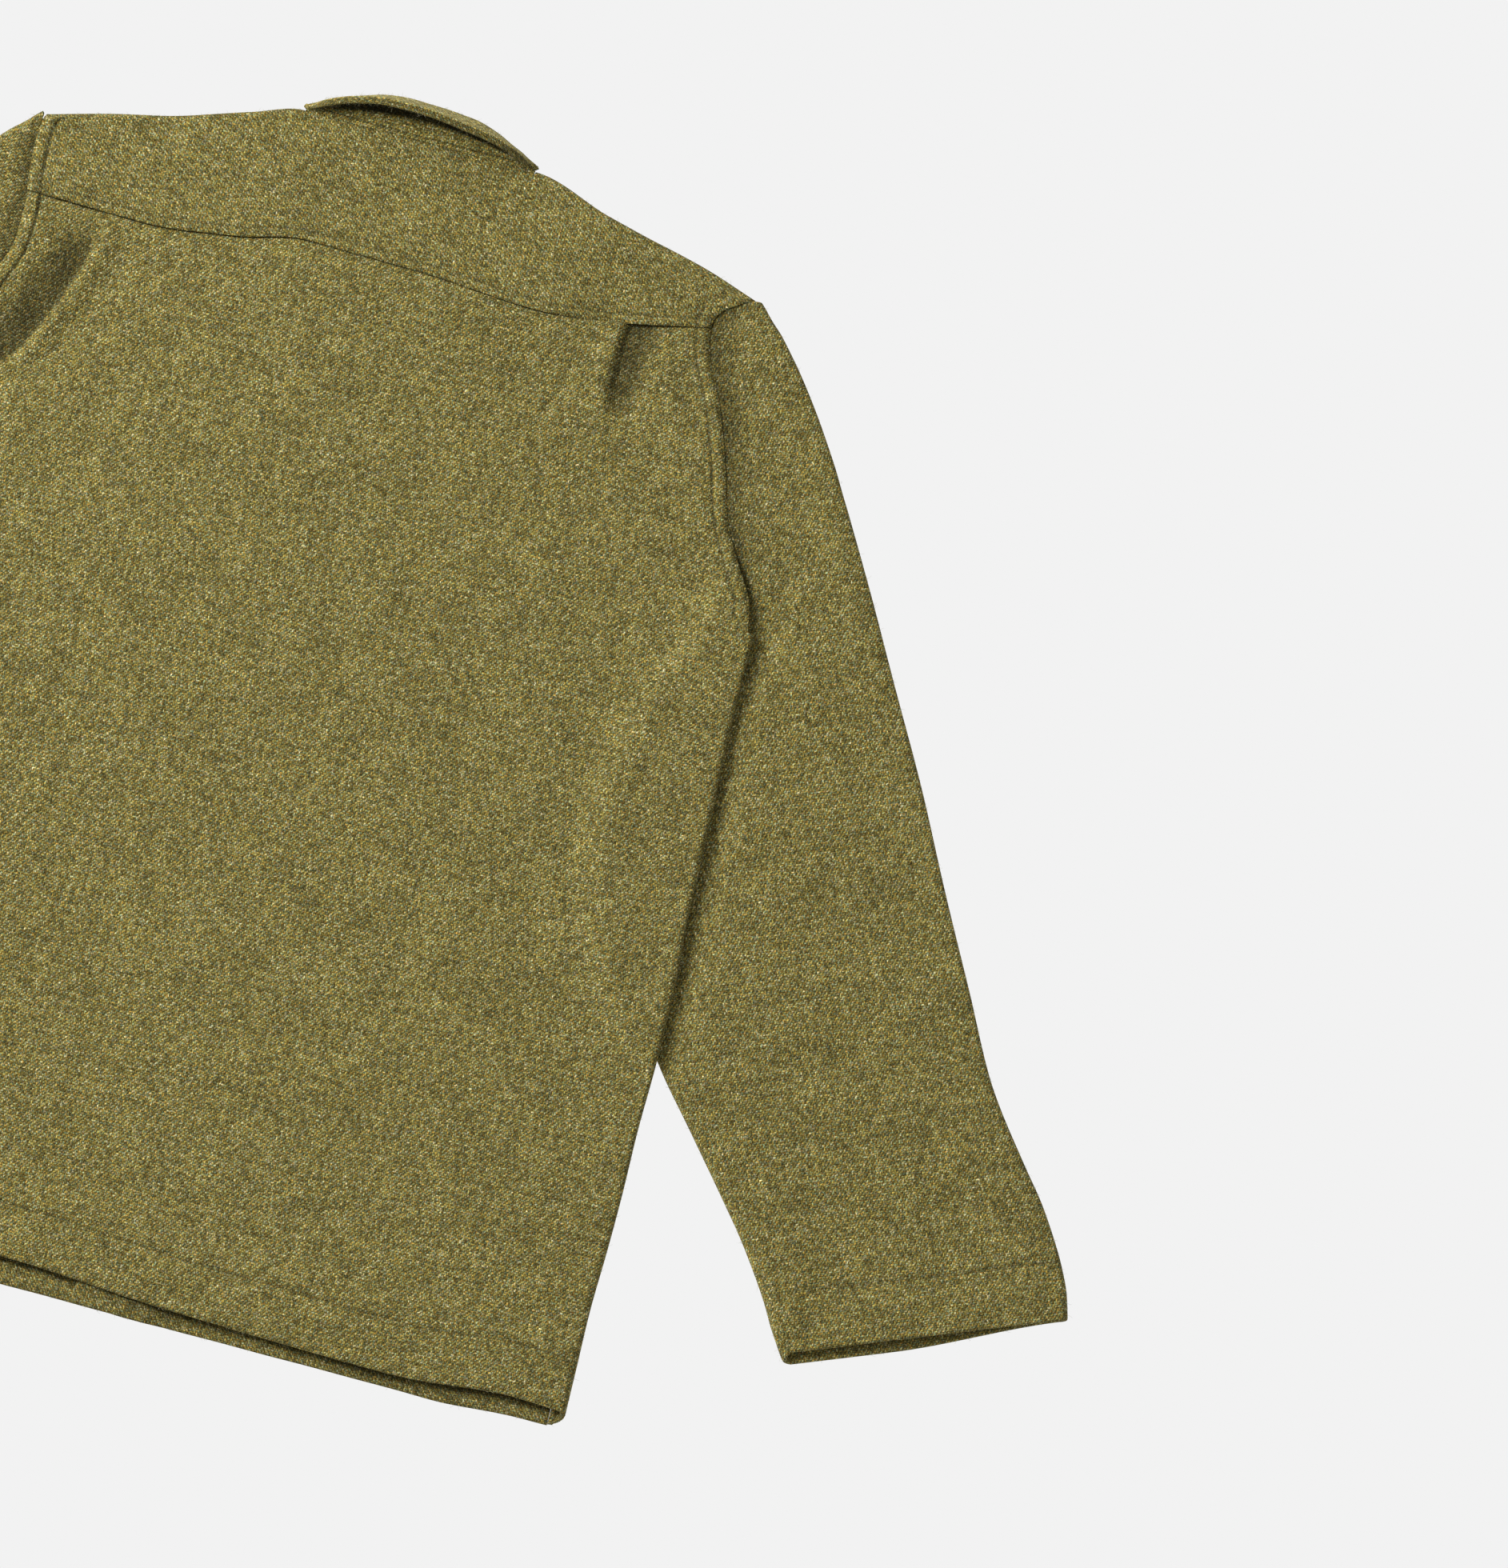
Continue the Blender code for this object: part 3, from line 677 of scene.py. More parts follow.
@dataclass(frozen=True)
class YarnColour:
    """A colour of the heather mixture, and the level of a channel of the mixing noise where it begins."""

    colour: str
    channel: int
    rising: bool
    level: float
    strength: float


@dataclass(frozen=True)
class HeatherTweed:
    """Milled woollen tweed, woven as a 2/2 twill of heather-mixture yarns: matt, rough and slightly hairy."""

    name: str = "heather_tweed"
    # Nine warp threads and seven weft threads to the centimetre, as counted in the photograph
    warp_pitch_mm: float = 1.15
    weft_pitch_mm: float = 1.45
    wander_mm: float = 1.40
    slant: float = 0.40
    base: str = "#8A7F3A"
    yarns: tuple[YarnColour, ...] = (
        YarnColour("#96792A", 2, True, 0.51, 0.50),
        YarnColour("#A0642A", 0, True, 0.53, 0.52),
        YarnColour("#648E7C", 0, False, 0.52, 0.60),
        YarnColour("#46431F", 1, False, 0.53, 0.52),
        YarnColour("#BDBA9C", 1, True, 0.56, 0.56),
    )
    # Painted shade in the gaps between floats, and painted light on their crowns
    gap_shade: float = 0.55
    crown_light: float = 1.56
    float_change: float = 0.46
    fibre_change: float = 0.66
    streak: float = 0.17
    patch: float = 0.10
    # Wool fibre reflects little and spreads it wide
    ior: float = 1.54
    specular: float = 0.16
    sheen_weight: float = 0.10
    sheen_roughness: float = 0.55
    sheen_tint: str = "#B9B48C"
    relief_mm: float = 0.34
    fibre_relief: float = 0.45
    crown_power: float = 1.7
    edge_width: float = 0.09

    def material(self) -> bpy.types.Material:
        """Makes the material."""
        made, tree = bare_material(self.name, self.base)
        grain = add_node(tree, "ShaderNodeUVMap", {"uv_map": "grain"}, {}).outputs[0]
        bent = grain
        # Threads bend slowly over 25 mm and wander within 3 mm
        for scale, reach_mm in ((40.0, 2.4), (420.0, self.wander_mm)):
            noise = {"Vector": grain, "Scale": scale, "Detail": 1.0}
            wander = add_node(tree, "ShaderNodeTexNoise", {}, noise).outputs["Color"]
            terms = {0: wander, 1: (reach_mm * MM, reach_mm * MM, 0.0), 2: bent}
            bent = add_node(tree, "ShaderNodeVectorMath", {"operation": "MULTIPLY_ADD"}, terms).outputs[0]
        counts = (1.0 / (self.warp_pitch_mm * MM), 1.0 / (self.weft_pitch_mm * MM), 1.0)
        threads = add_node(tree, "ShaderNodeVectorMath", {"operation": "MULTIPLY"}, {0: bent, 1: counts})
        split = add_node(tree, "ShaderNodeSeparateXYZ", {}, {0: threads.outputs[0]})
        height, float_id = self.weave(tree, split.outputs[0], split.outputs[1])
        # Fibre ends show as specks 1 mm wide, coarser than they are
        specks = {"Vector": grain, "Scale": 950.0, "Detail": 2.0}
        fibres = add_node(tree, "ShaderNodeTexNoise", {}, specks).outputs["Fac"]
        colour = self.colours(tree, grain, height, float_id, fibres)
        terms = {0: fibres, 1: self.fibre_relief, 2: height}
        rough_height = add_node(tree, "ShaderNodeMath", {"operation": "MULTIPLY_ADD"}, terms)
        bump = add_node(
            tree, "ShaderNodeBump", {},
            {"Strength": 1.0, "Distance": self.relief_mm * MM, "Height": rough_height.outputs[0]},
        )
        # Milled wool is nearly matt, a little less so on the crown of a yarn
        rough = add_node(tree, "ShaderNodeMapRange", {}, {"Value": height, "To Min": 0.98, "To Max": 0.84})
        shader = add_node(
            tree, "ShaderNodeBsdfPrincipled", {},
            {
                "Base Color": colour,
                "Roughness": rough.outputs[0],
                "Metallic": 0.0,
                "IOR": self.ior,
                "Specular IOR Level": self.specular,
                "Sheen Weight": self.sheen_weight,
                "Sheen Roughness": self.sheen_roughness,
                "Sheen Tint": linear(self.sheen_tint),
                "Normal": bump.outputs[0],
            },
        )
        add_node(tree, "ShaderNodeOutputMaterial", {}, {"Surface": shader.outputs[0]})
        return made

    def weave(self, tree: bpy.types.NodeTree, across: Any, along: Any) -> tuple[Any, Any]:
        """Builds the twill: which thread lies on top at each place, and its rounded height.

        Args:
            tree: the material's node tree.
            across: the place across the warp, counted in threads.
            along: the place along the warp, counted in threads.

        Returns:
            The socket of the height from 0 to 1, and the socket of a number pair that differs for every float.
        """
        counts = [
            add_node(
                tree, "ShaderNodeMath", {"operation": "FLOOR"}, {0: place}
            ).outputs[0] for place in (across, along)
        ]
        crowns, numbers, places = [], [], []
        for length, width, thread, start in (
            (along, across, counts[0], 0.0), (across, along, counts[1], 1.0)
        ):
            sums = {"length": length, "width": width, "thread": thread}
            # Each sum: its name, what it does, and its terms by name or number
            for name, operation, *terms in (
                ("gone", "SUBTRACT", "length", "thread"),
                ("walked", "SUBTRACT", "gone", start),
                ("place", "FLOORED_MODULO", "walked", 4.0),
                ("quarter", "MULTIPLY", "walked", 0.25),
                ("number", "FLOOR", "quarter"),
                ("middle", "MULTIPLY_ADD", "place", 0.5, -0.5),
                ("part", "FRACT", "width"),
                ("aside", "SUBTRACT", "part", 0.5),
                ("leaning", "MULTIPLY_ADD", "middle", -self.slant, "aside"),
                ("middle squared", "MULTIPLY", "middle", "middle"),
                ("middle bell", "MULTIPLY_ADD", "middle squared", -4.0, 1.0),
                ("lengthwise", "MAXIMUM", "middle bell", 0.0),
                ("leaning squared", "MULTIPLY", "leaning", "leaning"),
                ("leaning bell", "MULTIPLY_ADD", "leaning squared", -4.0, 1.0),
                ("open bell", "MAXIMUM", "leaning bell", 0.0),
                ("crosswise", "POWER", "open bell", self.crown_power),
                ("crown", "MULTIPLY", "lengthwise", "crosswise"),
            ):
                inputs = {place: sums.get(term, term) for place, term in enumerate(terms)}
                sums[name] = add_node(tree, "ShaderNodeMath", {"operation": operation}, inputs).outputs[0]
            pair = {0: thread, 1: sums["number"], 2: start}
            numbers.append(add_node(tree, "ShaderNodeCombineXYZ", {}, pair).outputs[0])
            crowns.append(sums["crown"])
            places.append(sums["place"])
        warp_up = add_node(
            tree, "ShaderNodeMath", {"operation": "LESS_THAN"}, {0: places[0], 1: 2.0}
        ).outputs[0]
        pairs = {0: warp_up, 4: numbers[1], 5: numbers[0]}
        float_id = add_node(tree, "ShaderNodeMix", {"data_type": "VECTOR"}, pairs)
        heights = {0: warp_up, 2: crowns[1], 3: crowns[0]}
        height = add_node(tree, "ShaderNodeMix", {"data_type": "FLOAT"}, heights)
        return height.outputs[0], float_id.outputs[1]

    def colours(self, tree: bpy.types.NodeTree, grain: Any, height: Any, float_id: Any, fibres: Any) -> Any:
        """Mixes the yarn colours: they drift from float to float, with streaks and soft patches.

        Args:
            tree: the material's node tree.
            grain: the socket of the place on the cloth in metres.
            height: the socket of the float's rounded height.
            float_id: the socket of the float's own number pair.
            fibres: the socket of the fine fibre noise.

        Returns:
            The socket of the cloth's colour.
        """
        # Dyed wool lies in flecks one to two threads wide
        noise = {"Vector": grain, "Scale": 780.0, "Detail": 2.0, "Roughness": 0.7}
        flecks = add_node(tree, "ShaderNodeTexNoise", {}, noise)
        channels = add_node(tree, "ShaderNodeSeparateXYZ", {}, {0: flecks.outputs["Color"]})
        colour: Any = linear(self.base)
        for yarn in self.yarns:
            step = self.edge_width if yarn.rising else -self.edge_width
            level = yarn.level if yarn.rising else 1.0 - yarn.level
            amount = add_node(
                tree, "ShaderNodeMapRange", {"interpolation_type": "SMOOTHSTEP"},
                {"Value": channels.outputs[yarn.channel], "From Min": level, "From Max": level + step,
                 "To Min": 0.0, "To Max": yarn.strength},
            )
            shares = {0: amount.outputs[0], 6: colour, 7: linear(yarn.colour)}
            colour = add_node(tree, "ShaderNodeMix", {"data_type": "RGBA"}, shares).outputs[2]
        # Painted shade and light of the weave: darker in the gaps between floats, lighter on their crowns
        shade = add_node(
            tree, "ShaderNodeMapRange", {},
            {"Value": height, "To Min": self.gap_shade, "To Max": self.crown_light}
        ).outputs[0]
        chance = add_node(tree, "ShaderNodeTexWhiteNoise", {"noise_dimensions": "3D"}, {"Vector": float_id})
        changes = [
            (chance.outputs["Value"], 0.0, 1.0, self.float_change), (fibres, 0.3, 0.7, self.fibre_change)
        ]
        # Threads differ a little over their whole length: streaks 2 mm wide and some 60 mm long, both ways
        for stretch in ((560.0, 17.0, 1.0), (17.0, 560.0, 1.0)):
            placed = add_node(tree, "ShaderNodeVectorMath", {"operation": "MULTIPLY"}, {0: grain, 1: stretch})
            noise = {"Vector": placed.outputs[0], "Scale": 1.0, "Detail": 3.0}
            streaks = add_node(tree, "ShaderNodeTexNoise", {}, noise)
            changes.append((streaks.outputs["Fac"], 0.25, 0.75, self.streak))
        # Milling leaves patches some 25 mm wide that are a little lighter or darker
        patches = add_node(tree, "ShaderNodeTexNoise", {}, {"Vector": grain, "Scale": 42.0, "Detail": 3.0})
        changes.append((patches.outputs["Fac"], 0.3, 0.7, self.patch))
        for value, low, high, change in changes:
            factor = add_node(
                tree, "ShaderNodeMapRange", {},
                {
                    "Value": value, "From Min": low, "From Max": high, "To Min": 1.0 - change,
                    "To Max": 1.0 + change
                },
            )
            terms = {0: shade, 1: factor.outputs[0]}
            shade = add_node(tree, "ShaderNodeMath", {"operation": "MULTIPLY"}, terms).outputs[0]
        # Painted light and shade from the shade attribute: darker in grooves, seam edges, crease hollows and the gap
        # under the collar's leaf, lighter on the collar's stand and leaf
        groove = add_node(tree, "ShaderNodeAttribute", {"attribute_name": "shade"}, {}).outputs["Fac"]
        shade = add_node(tree, "ShaderNodeMath", {"operation": "MULTIPLY"}, {0: shade, 1: groove}).outputs[0]
        return add_node(
            tree, "ShaderNodeVectorMath", {"operation": "SCALE"}, {0: colour, "Scale": shade}
        ).outputs[0]


@dataclass(frozen=True)
class SpunFibre:
    """Loose wool fibre or sewing thread, with a soft sheen and colour that drifts along it."""

    name: str
    light: str
    dark: str
    roughness: float
    sheen_weight: float

    def material(self) -> bpy.types.Material:
        """Makes the material."""
        made, tree = bare_material(self.name, self.light)
        place = add_node(tree, "ShaderNodeTexCoord", {}, {}).outputs["Object"]
        # The mixture changes every 4 mm or so, which keeps neighbours apart
        drift = add_node(tree, "ShaderNodeTexNoise", {}, {"Vector": place, "Scale": 240.0, "Detail": 1.0})
        spread = add_node(
            tree, "ShaderNodeMapRange", {},
            {"Value": drift.outputs["Fac"], "From Min": 0.35, "From Max": 0.65}
        )
        shares = {0: spread.outputs[0], 6: linear(self.dark), 7: linear(self.light)}
        colour = add_node(tree, "ShaderNodeMix", {"data_type": "RGBA"}, shares)
        ply = add_node(tree, "ShaderNodeTexNoise", {}, {"Vector": place, "Scale": 3000.0, "Detail": 1.0})
        bump = add_node(
            tree, "ShaderNodeBump", {}, {"Strength": 0.4, "Distance": 0.00008, "Height": ply.outputs["Fac"]}
        )
        shader = add_node(
            tree, "ShaderNodeBsdfPrincipled", {},
            {
                "Base Color": colour.outputs[2],
                "Roughness": self.roughness,
                "Specular IOR Level": 0.25,
                "Sheen Weight": self.sheen_weight,
                "Normal": bump.outputs[0],
            },
        )
        add_node(tree, "ShaderNodeOutputMaterial", {}, {"Surface": shader.outputs[0]})
        return made


@dataclass(frozen=True)
class LitPaper:
    """Backdrop paper lit from behind, so evenly pale that the jacket casts no shadow on it."""

    name: str = "backdrop_paper"
    colour: str = "#F2F2F2"

    def material(self) -> bpy.types.Material:
        """Makes the material."""
        made, tree = bare_material(self.name, self.colour)
        glow = add_node(tree, "ShaderNodeEmission", {}, {"Color": linear(self.colour), "Strength": 1.0})
        add_node(tree, "ShaderNodeOutputMaterial", {}, {"Surface": glow.outputs[0]})
        return made


def placed(name: str, data: bpy.types.ID) -> bpy.types.Object:
    """Makes an object of a mesh, light or camera and links it to the scene."""
    made = bpy.data.objects.new(name, data)
    bpy.context.scene.collection.objects.link(made)
    return made


def mesh_object(
    name: str, points: np.ndarray, faces: list[list[int]], material: bpy.types.Material
) -> bpy.types.Object:
    """Makes an object from points and faces.

    Args:
        name: the object's name.
        points: the corners, count x 3.
        faces: the corner numbers of each face.
        material: its material.

    Returns:
        The object.
    """
    mesh = bpy.data.meshes.new(name)
    mesh.from_pydata(points.tolist(), [], faces)
    mesh.materials.append(material)
    mesh.shade_smooth()
    return placed(name, mesh)


@dataclass
class ClothShell:
    """One cut piece of cloth: a fine sheet through its outer face, which Solidify gives its wall.

    Attributes:
        name: the piece's name.
        points: the outer face, rows x columns x 3, with no number where the grid has no cloth.
        clockwise: whether the columns run clockwise as seen from outside.
        grain: the place on the flat cloth in metres, rows x columns x 2.
        shade: the painted light and shade multiplied into the cloth's colour, 1 where the cloth is open, for the last
            rows and the first columns.
    """

    name: str
    points: np.ndarray
    clockwise: bool
    grain: np.ndarray
    shade: np.ndarray | None = None
    join_distance: float = 1e-6
    rim_round: float = 0.0005
    shade_limits: tuple[float, float] = (0.05, 1.8)

    def build(self, tweed: bpy.types.Material) -> bpy.types.Object:
        """Makes the shell.

        Args:
            tweed: the cloth's material.

        Returns:
            The object, with its wall and rounded rims as modifiers.
        """
        rows, columns = self.points.shape[:2]
        number = np.arange(rows * columns).reshape(rows, columns)
        corners = [number[:-1, :-1], number[:-1, 1:], number[1:, 1:], number[1:, :-1]]
        if self.clockwise:
            corners.reverse()
        quads = np.stack(corners, axis=-1).reshape(-1, 4)
        flat = self.points.reshape(-1, 3)
        there = np.isfinite(flat).all(axis=1)
        quads = quads[there[quads].all(axis=1)]
        used = quads.ravel()
        keys = np.round(flat[used] / self.join_distance).astype(np.int64)
        _, first, place = np.unique(keys, axis=0, return_index=True, return_inverse=True)
        laid = flat[used[first]] + np.array([0.0, LAID_SHIFT_Y, 0.0])
        made = mesh_object(self.name, laid, place.reshape(-1, 4).tolist(), tweed)
        weave = made.data.uv_layers.new(name="grain")
        weave.data.foreach_set(
            "uv", np.nan_to_num(self.grain).reshape(-1, 2)[used].astype(np.float32).ravel()
        )
        shades = np.ones((rows, columns))
        if self.shade is not None:
            kept_rows, kept_columns = self.shade.shape
            shades[rows - kept_rows :, :kept_columns] = np.clip(self.shade, *self.shade_limits)
        shade = made.data.attributes.new("shade", "FLOAT", "POINT")
        shade.data.foreach_set("value", shades.ravel()[used[first]].astype(np.float32))
        wall = made.modifiers.new("wall", "SOLIDIFY")
        wall.thickness = DRAFT.cloth
        wall.offset = -1.0
        rims = made.modifiers.new("rims", "BEVEL")
        rims.width = self.rim_round
        rims.segments = 2
        rims.limit_method = "ANGLE"
        rims.angle_limit = math.radians(72.0)
        self.keep_off_floor(made, wall)
        LOG.info("%s: %d faces before its wall", self.name, len(quads))
        return made

    @staticmethod
    def keep_off_floor(made: bpy.types.Object, wall: bpy.types.Modifier) -> None:
        """Thins the wall at the few corners where it would turn downwards into the floor.

        Args:
            made: the shell.
            wall: its Solidify modifier.
        """
        shaped = made.evaluated_get(bpy.context.evaluated_depsgraph_get()).data
        low = np.array([corner.co for corner in shaped.vertices if corner.co.z < -0.0002])
        if not len(low):
            return
        corners = np.array([corner.co for corner in made.data.vertices])
        near = (
            np.linalg.norm(corners[:, None, :] - low[None, :, :], axis=2).min(axis=1) < 0.0024
        ).nonzero()[0]
        open_cloth = made.vertex_groups.new(name="open_cloth")
        open_cloth.add(list(range(len(corners))), 1.0, "REPLACE")
        open_cloth.add([int(corner) for corner in near], 0.0, "REPLACE")
        wall.vertex_group = open_cloth.name
        wall.thickness_vertex_group = 0.05


@dataclass
class Jacket:
    """The whole jacket: the cloth's material and the shells made so far, by name."""

    tweed: bpy.types.Material
    shells: dict[str, bpy.types.Object]

    def add(
        self, shell: ClothShell, node: str, cut: tuple[float, float], rests_on: Sequence[str]
    ) -> bpy.types.Object:
        """Builds a shell with the cloth's material, hangs it under the root and hides the solid that it stands for.

        Args:
            shell: the cloth to build.
            node: the solid that it stands for.
            cut: the width and length of the box round the flat cut; not used.
            rests_on: the names of the pieces that it lies on; not used.

        Returns:
            The object.
        """
        made = shell.build(self.tweed)
        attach(made, "root")
        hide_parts(node)
        self.shells[shell.name] = made
        return made


@dataclass
class BackPanel:
    """The back, from its turned-up hem to the yoke seam and round both sides to the side seams."""

    step: float = 0.0041
    tuck_step: float = 0.0018
    hem_fold: float = 0.0017
    side_steps: int = 8
    under_yoke: float = 0.0012
    waves: Waves = Waves(11)
    edge_waves: Waves = Waves(12, count=12, shortest=0.03, longest=0.14, height=0.00030)
    cut: tuple[float, float] = (0.590, 0.735)

    def true_y(self, x: np.ndarray, height: np.ndarray) -> np.ndarray:
        """Where a row lies at a distance from the centre back: it bends with hem and yoke seam."""
        hem_share = smooth((-0.25 - height) / 0.10)
        seam_share = smooth((height - 0.14) / 0.13)
        bend = hem_share * (DRAFT.back_hem(x) - DRAFT.back_hem_y)
        return height + bend + seam_share * (DRAFT.yoke_seam(x) - DRAFT.yoke_seam_y)

    def relief(self, x: np.ndarray, y: np.ndarray) -> np.ndarray:
        """The creases, tucks, seam edges and stitch grooves of the upper face.

        Args:
            x: how far right each place lies.
            y: how far up the jacket each place lies.

        Returns:
            The heights in metres.
        """
        below_seam = DRAFT.yoke_seam(x) - y
        above_hem = y - DRAFT.back_hem(x)
        side = smooth((DRAFT.body_half(y) - np.abs(x) - 0.004) / 0.014)
        creased = crease_relief(BACK_CREASES, x, y) + self.waves(x, y)
        creased = creased * np.where(y > DRAFT.underarm_y, 1.0, side) * smooth(0.35 + above_hem / 0.05)
        creased = creased * mix(0.35, 1.0, smooth(DRAFT.from_armhole(x, y) / 0.010))
        seam = 0.0022 * dip(below_seam + self.under_yoke, 0.0015) + 0.0006 * dip(below_seam - 0.004, 0.0050)
        pull = 0.00022 * np.sin(x / 0.0019 + 3.0 * np.sin(x / 0.017)) * dip(below_seam - 0.004, 0.0055)
        stitched = 0.00062 * dip(above_hem - DRAFT.hem_depth, 0.0013)
        wave = 0.00016 * np.sin(x / 0.0022 + 4.0 * np.sin(x / 0.023))
        ripple = wave * dip(above_hem - DRAFT.hem_depth, 0.0070)
        turned = 0.00030 * smooth((DRAFT.hem_depth - above_hem) / 0.004)
        hem = (turned + ripple - stitched) * side
        return DRAFT.deepest(creased - seam + pull, DRAFT.deepest_body) + DRAFT.armhole_relief(x, y) + hem

    def shade(self, x: np.ndarray, y: np.ndarray) -> np.ndarray:
        """The painted shade of the grooves, seam edges and crease hollows: how much light they keep.

        Args:
            x: how far right each place lies.
            y: how far up the jacket each place lies.

        Returns:
            The share of the light, 1 on open cloth.
        """
        below_seam = DRAFT.yoke_seam(x) - y
        above_hem = y - DRAFT.back_hem(x)
        seam = 1.0 - 0.30 * dip(below_seam, 0.0007)
        hem = 1.0 - 0.34 * dip(above_hem - DRAFT.hem_depth, 0.0011)
        hollow = smooth((-crease_relief(BACK_CREASES, x, y) - 0.0005) / 0.0034)
        return seam * hem * (1.0 - 0.60 * hollow) * DRAFT.armhole_shade(x, y)

    def shares(self) -> np.ndarray:
        """The places of the columns across the panel, closer at the armholes and over the tucks."""
        near_edge = np.array(
            [0.0, 0.8, 1.7, 2.8, 4.0, 5.4, 6.8, 7.8, 8.6, 9.4, 10.4, 12.0, 14.0, 17.0]
        ) * MM / 0.46
        tucks = np.concatenate(
            [np.arange(0.085, 0.245, self.tuck_step / 0.45), np.arange(0.825, 0.90, self.tuck_step / 0.45)]
        )
        plain = np.arange(near_edge[-1] + 0.008, 1.0 - near_edge[-1] - 0.004, self.step / 0.56)
        plain = [at for at in plain if np.abs(tucks - at).min() > 0.4 * self.tuck_step / 0.45]
        outside = [at for at in plain if not (0.085 < at < 0.245 or 0.825 < at < 0.90)]
        return np.array(sorted([*near_edge, *(1.0 - near_edge), *outside, *tucks]))

    def make(self, jacket: Jacket) -> None:
        """Builds the panel.

        Args:
            jacket: the jacket that it belongs to.
        """
        low_edge = DRAFT.back_hem_y + self.hem_fold
        high_edge = DRAFT.yoke_seam_y + self.under_yoke
        stitch = DRAFT.back_hem_y + DRAFT.hem_depth
        heights = spaced(low_edge, high_edge, self.step, (stitch, high_edge), 0.0010)[:, None]
        shares = self.shares()[None, :]
        above = heights > DRAFT.underarm_y
        edges = []
        for side, armhole in ((-1, DRAFT.armhole_left), (1, DRAFT.armhole_right)):
            seam_y = self.true_y(side * armhole(heights), heights)
            at_seam = side * (armhole(seam_y) - DRAFT.seam_gap)
            at_fold = side * (DRAFT.body_half(heights) - DRAFT.loft(heights) / 2)
            edges.append(np.where(above, at_seam, at_fold))
        x = mix(edges[0], edges[1], shares)
        y = self.true_y(x, heights)
        z = DRAFT.lift(x, y) + DRAFT.loft(y) + self.relief(x, y)
        main = np.stack([x, y, z], axis=-1)
        sides = {side: self.side_turn(side, heights, self.true_y(edges[1], heights)) for side in (-1, 1)}
        points = np.concatenate([sides[-1][:, ::-1], main, sides[1]], axis=1)
        points = turn_up_hem(points, DRAFT.hem_depth, DRAFT.hem_cloth, False)
        added, beside = len(points) - len(heights), self.side_steps + 2
        grain = laid_grain(
            points, points[..., :2], (added, len(points) - 1), (beside, points.shape[1] - 1 - beside)
        )
        shade = np.pad(self.shade(x, y), ((0, 0), (beside, 0)), constant_values=1.0)
        shell = ClothShell("back_panel", points, False, grain, shade)
        jacket.add(shell, "back", self.cut, ["front_panel_left", "front_panel_right"])

    def side_turn(self, side: int, heights: np.ndarray, y: np.ndarray) -> np.ndarray:
        """The half round at one side below the armhole, and the strip under it up to the side seam.

        Args:
            side: 1 for the right side and -1 for the left one.
            heights: the rows, as a column.
            y: where each row lies at the side.

        Returns:
            The points, with no number above the underarm.
        """
        below = heights <= DRAFT.underarm_y
        angles = np.linspace(0.0, math.pi, self.side_steps + 1)[None, 1:]
        half = DRAFT.body_half(heights)
        low = DRAFT.lift(half, y)
        wobble = self.edge_waves(side * half, heights) * smooth((DRAFT.underarm_y - heights) / 0.05)
        across, z = turn_along(half, low, low + DRAFT.loft(y), angles)
        across = across + wobble * np.sin(angles)
        inset = half - np.array([0.66, 1.0])[None, :] * DRAFT.side_seam_inset
        across = np.concatenate([across, inset], axis=1)
        z = np.concatenate([z, low, low], axis=1)
        walked = np.concatenate([angles[0] / math.pi * 5.0 / 7.0, [5.5 / 7.0, 6.0 / 7.0]])[None, :]
        slack = mix(0.0, DRAFT.front_hem_y - DRAFT.back_hem_y, smooth(walked))
        y = y + 0.8 * slack * smooth((-0.30 - heights) / 0.07)
        points = np.stack([side * across, y, z + 0 * across], axis=-1)
        return np.where(below[..., None], points, np.nan)


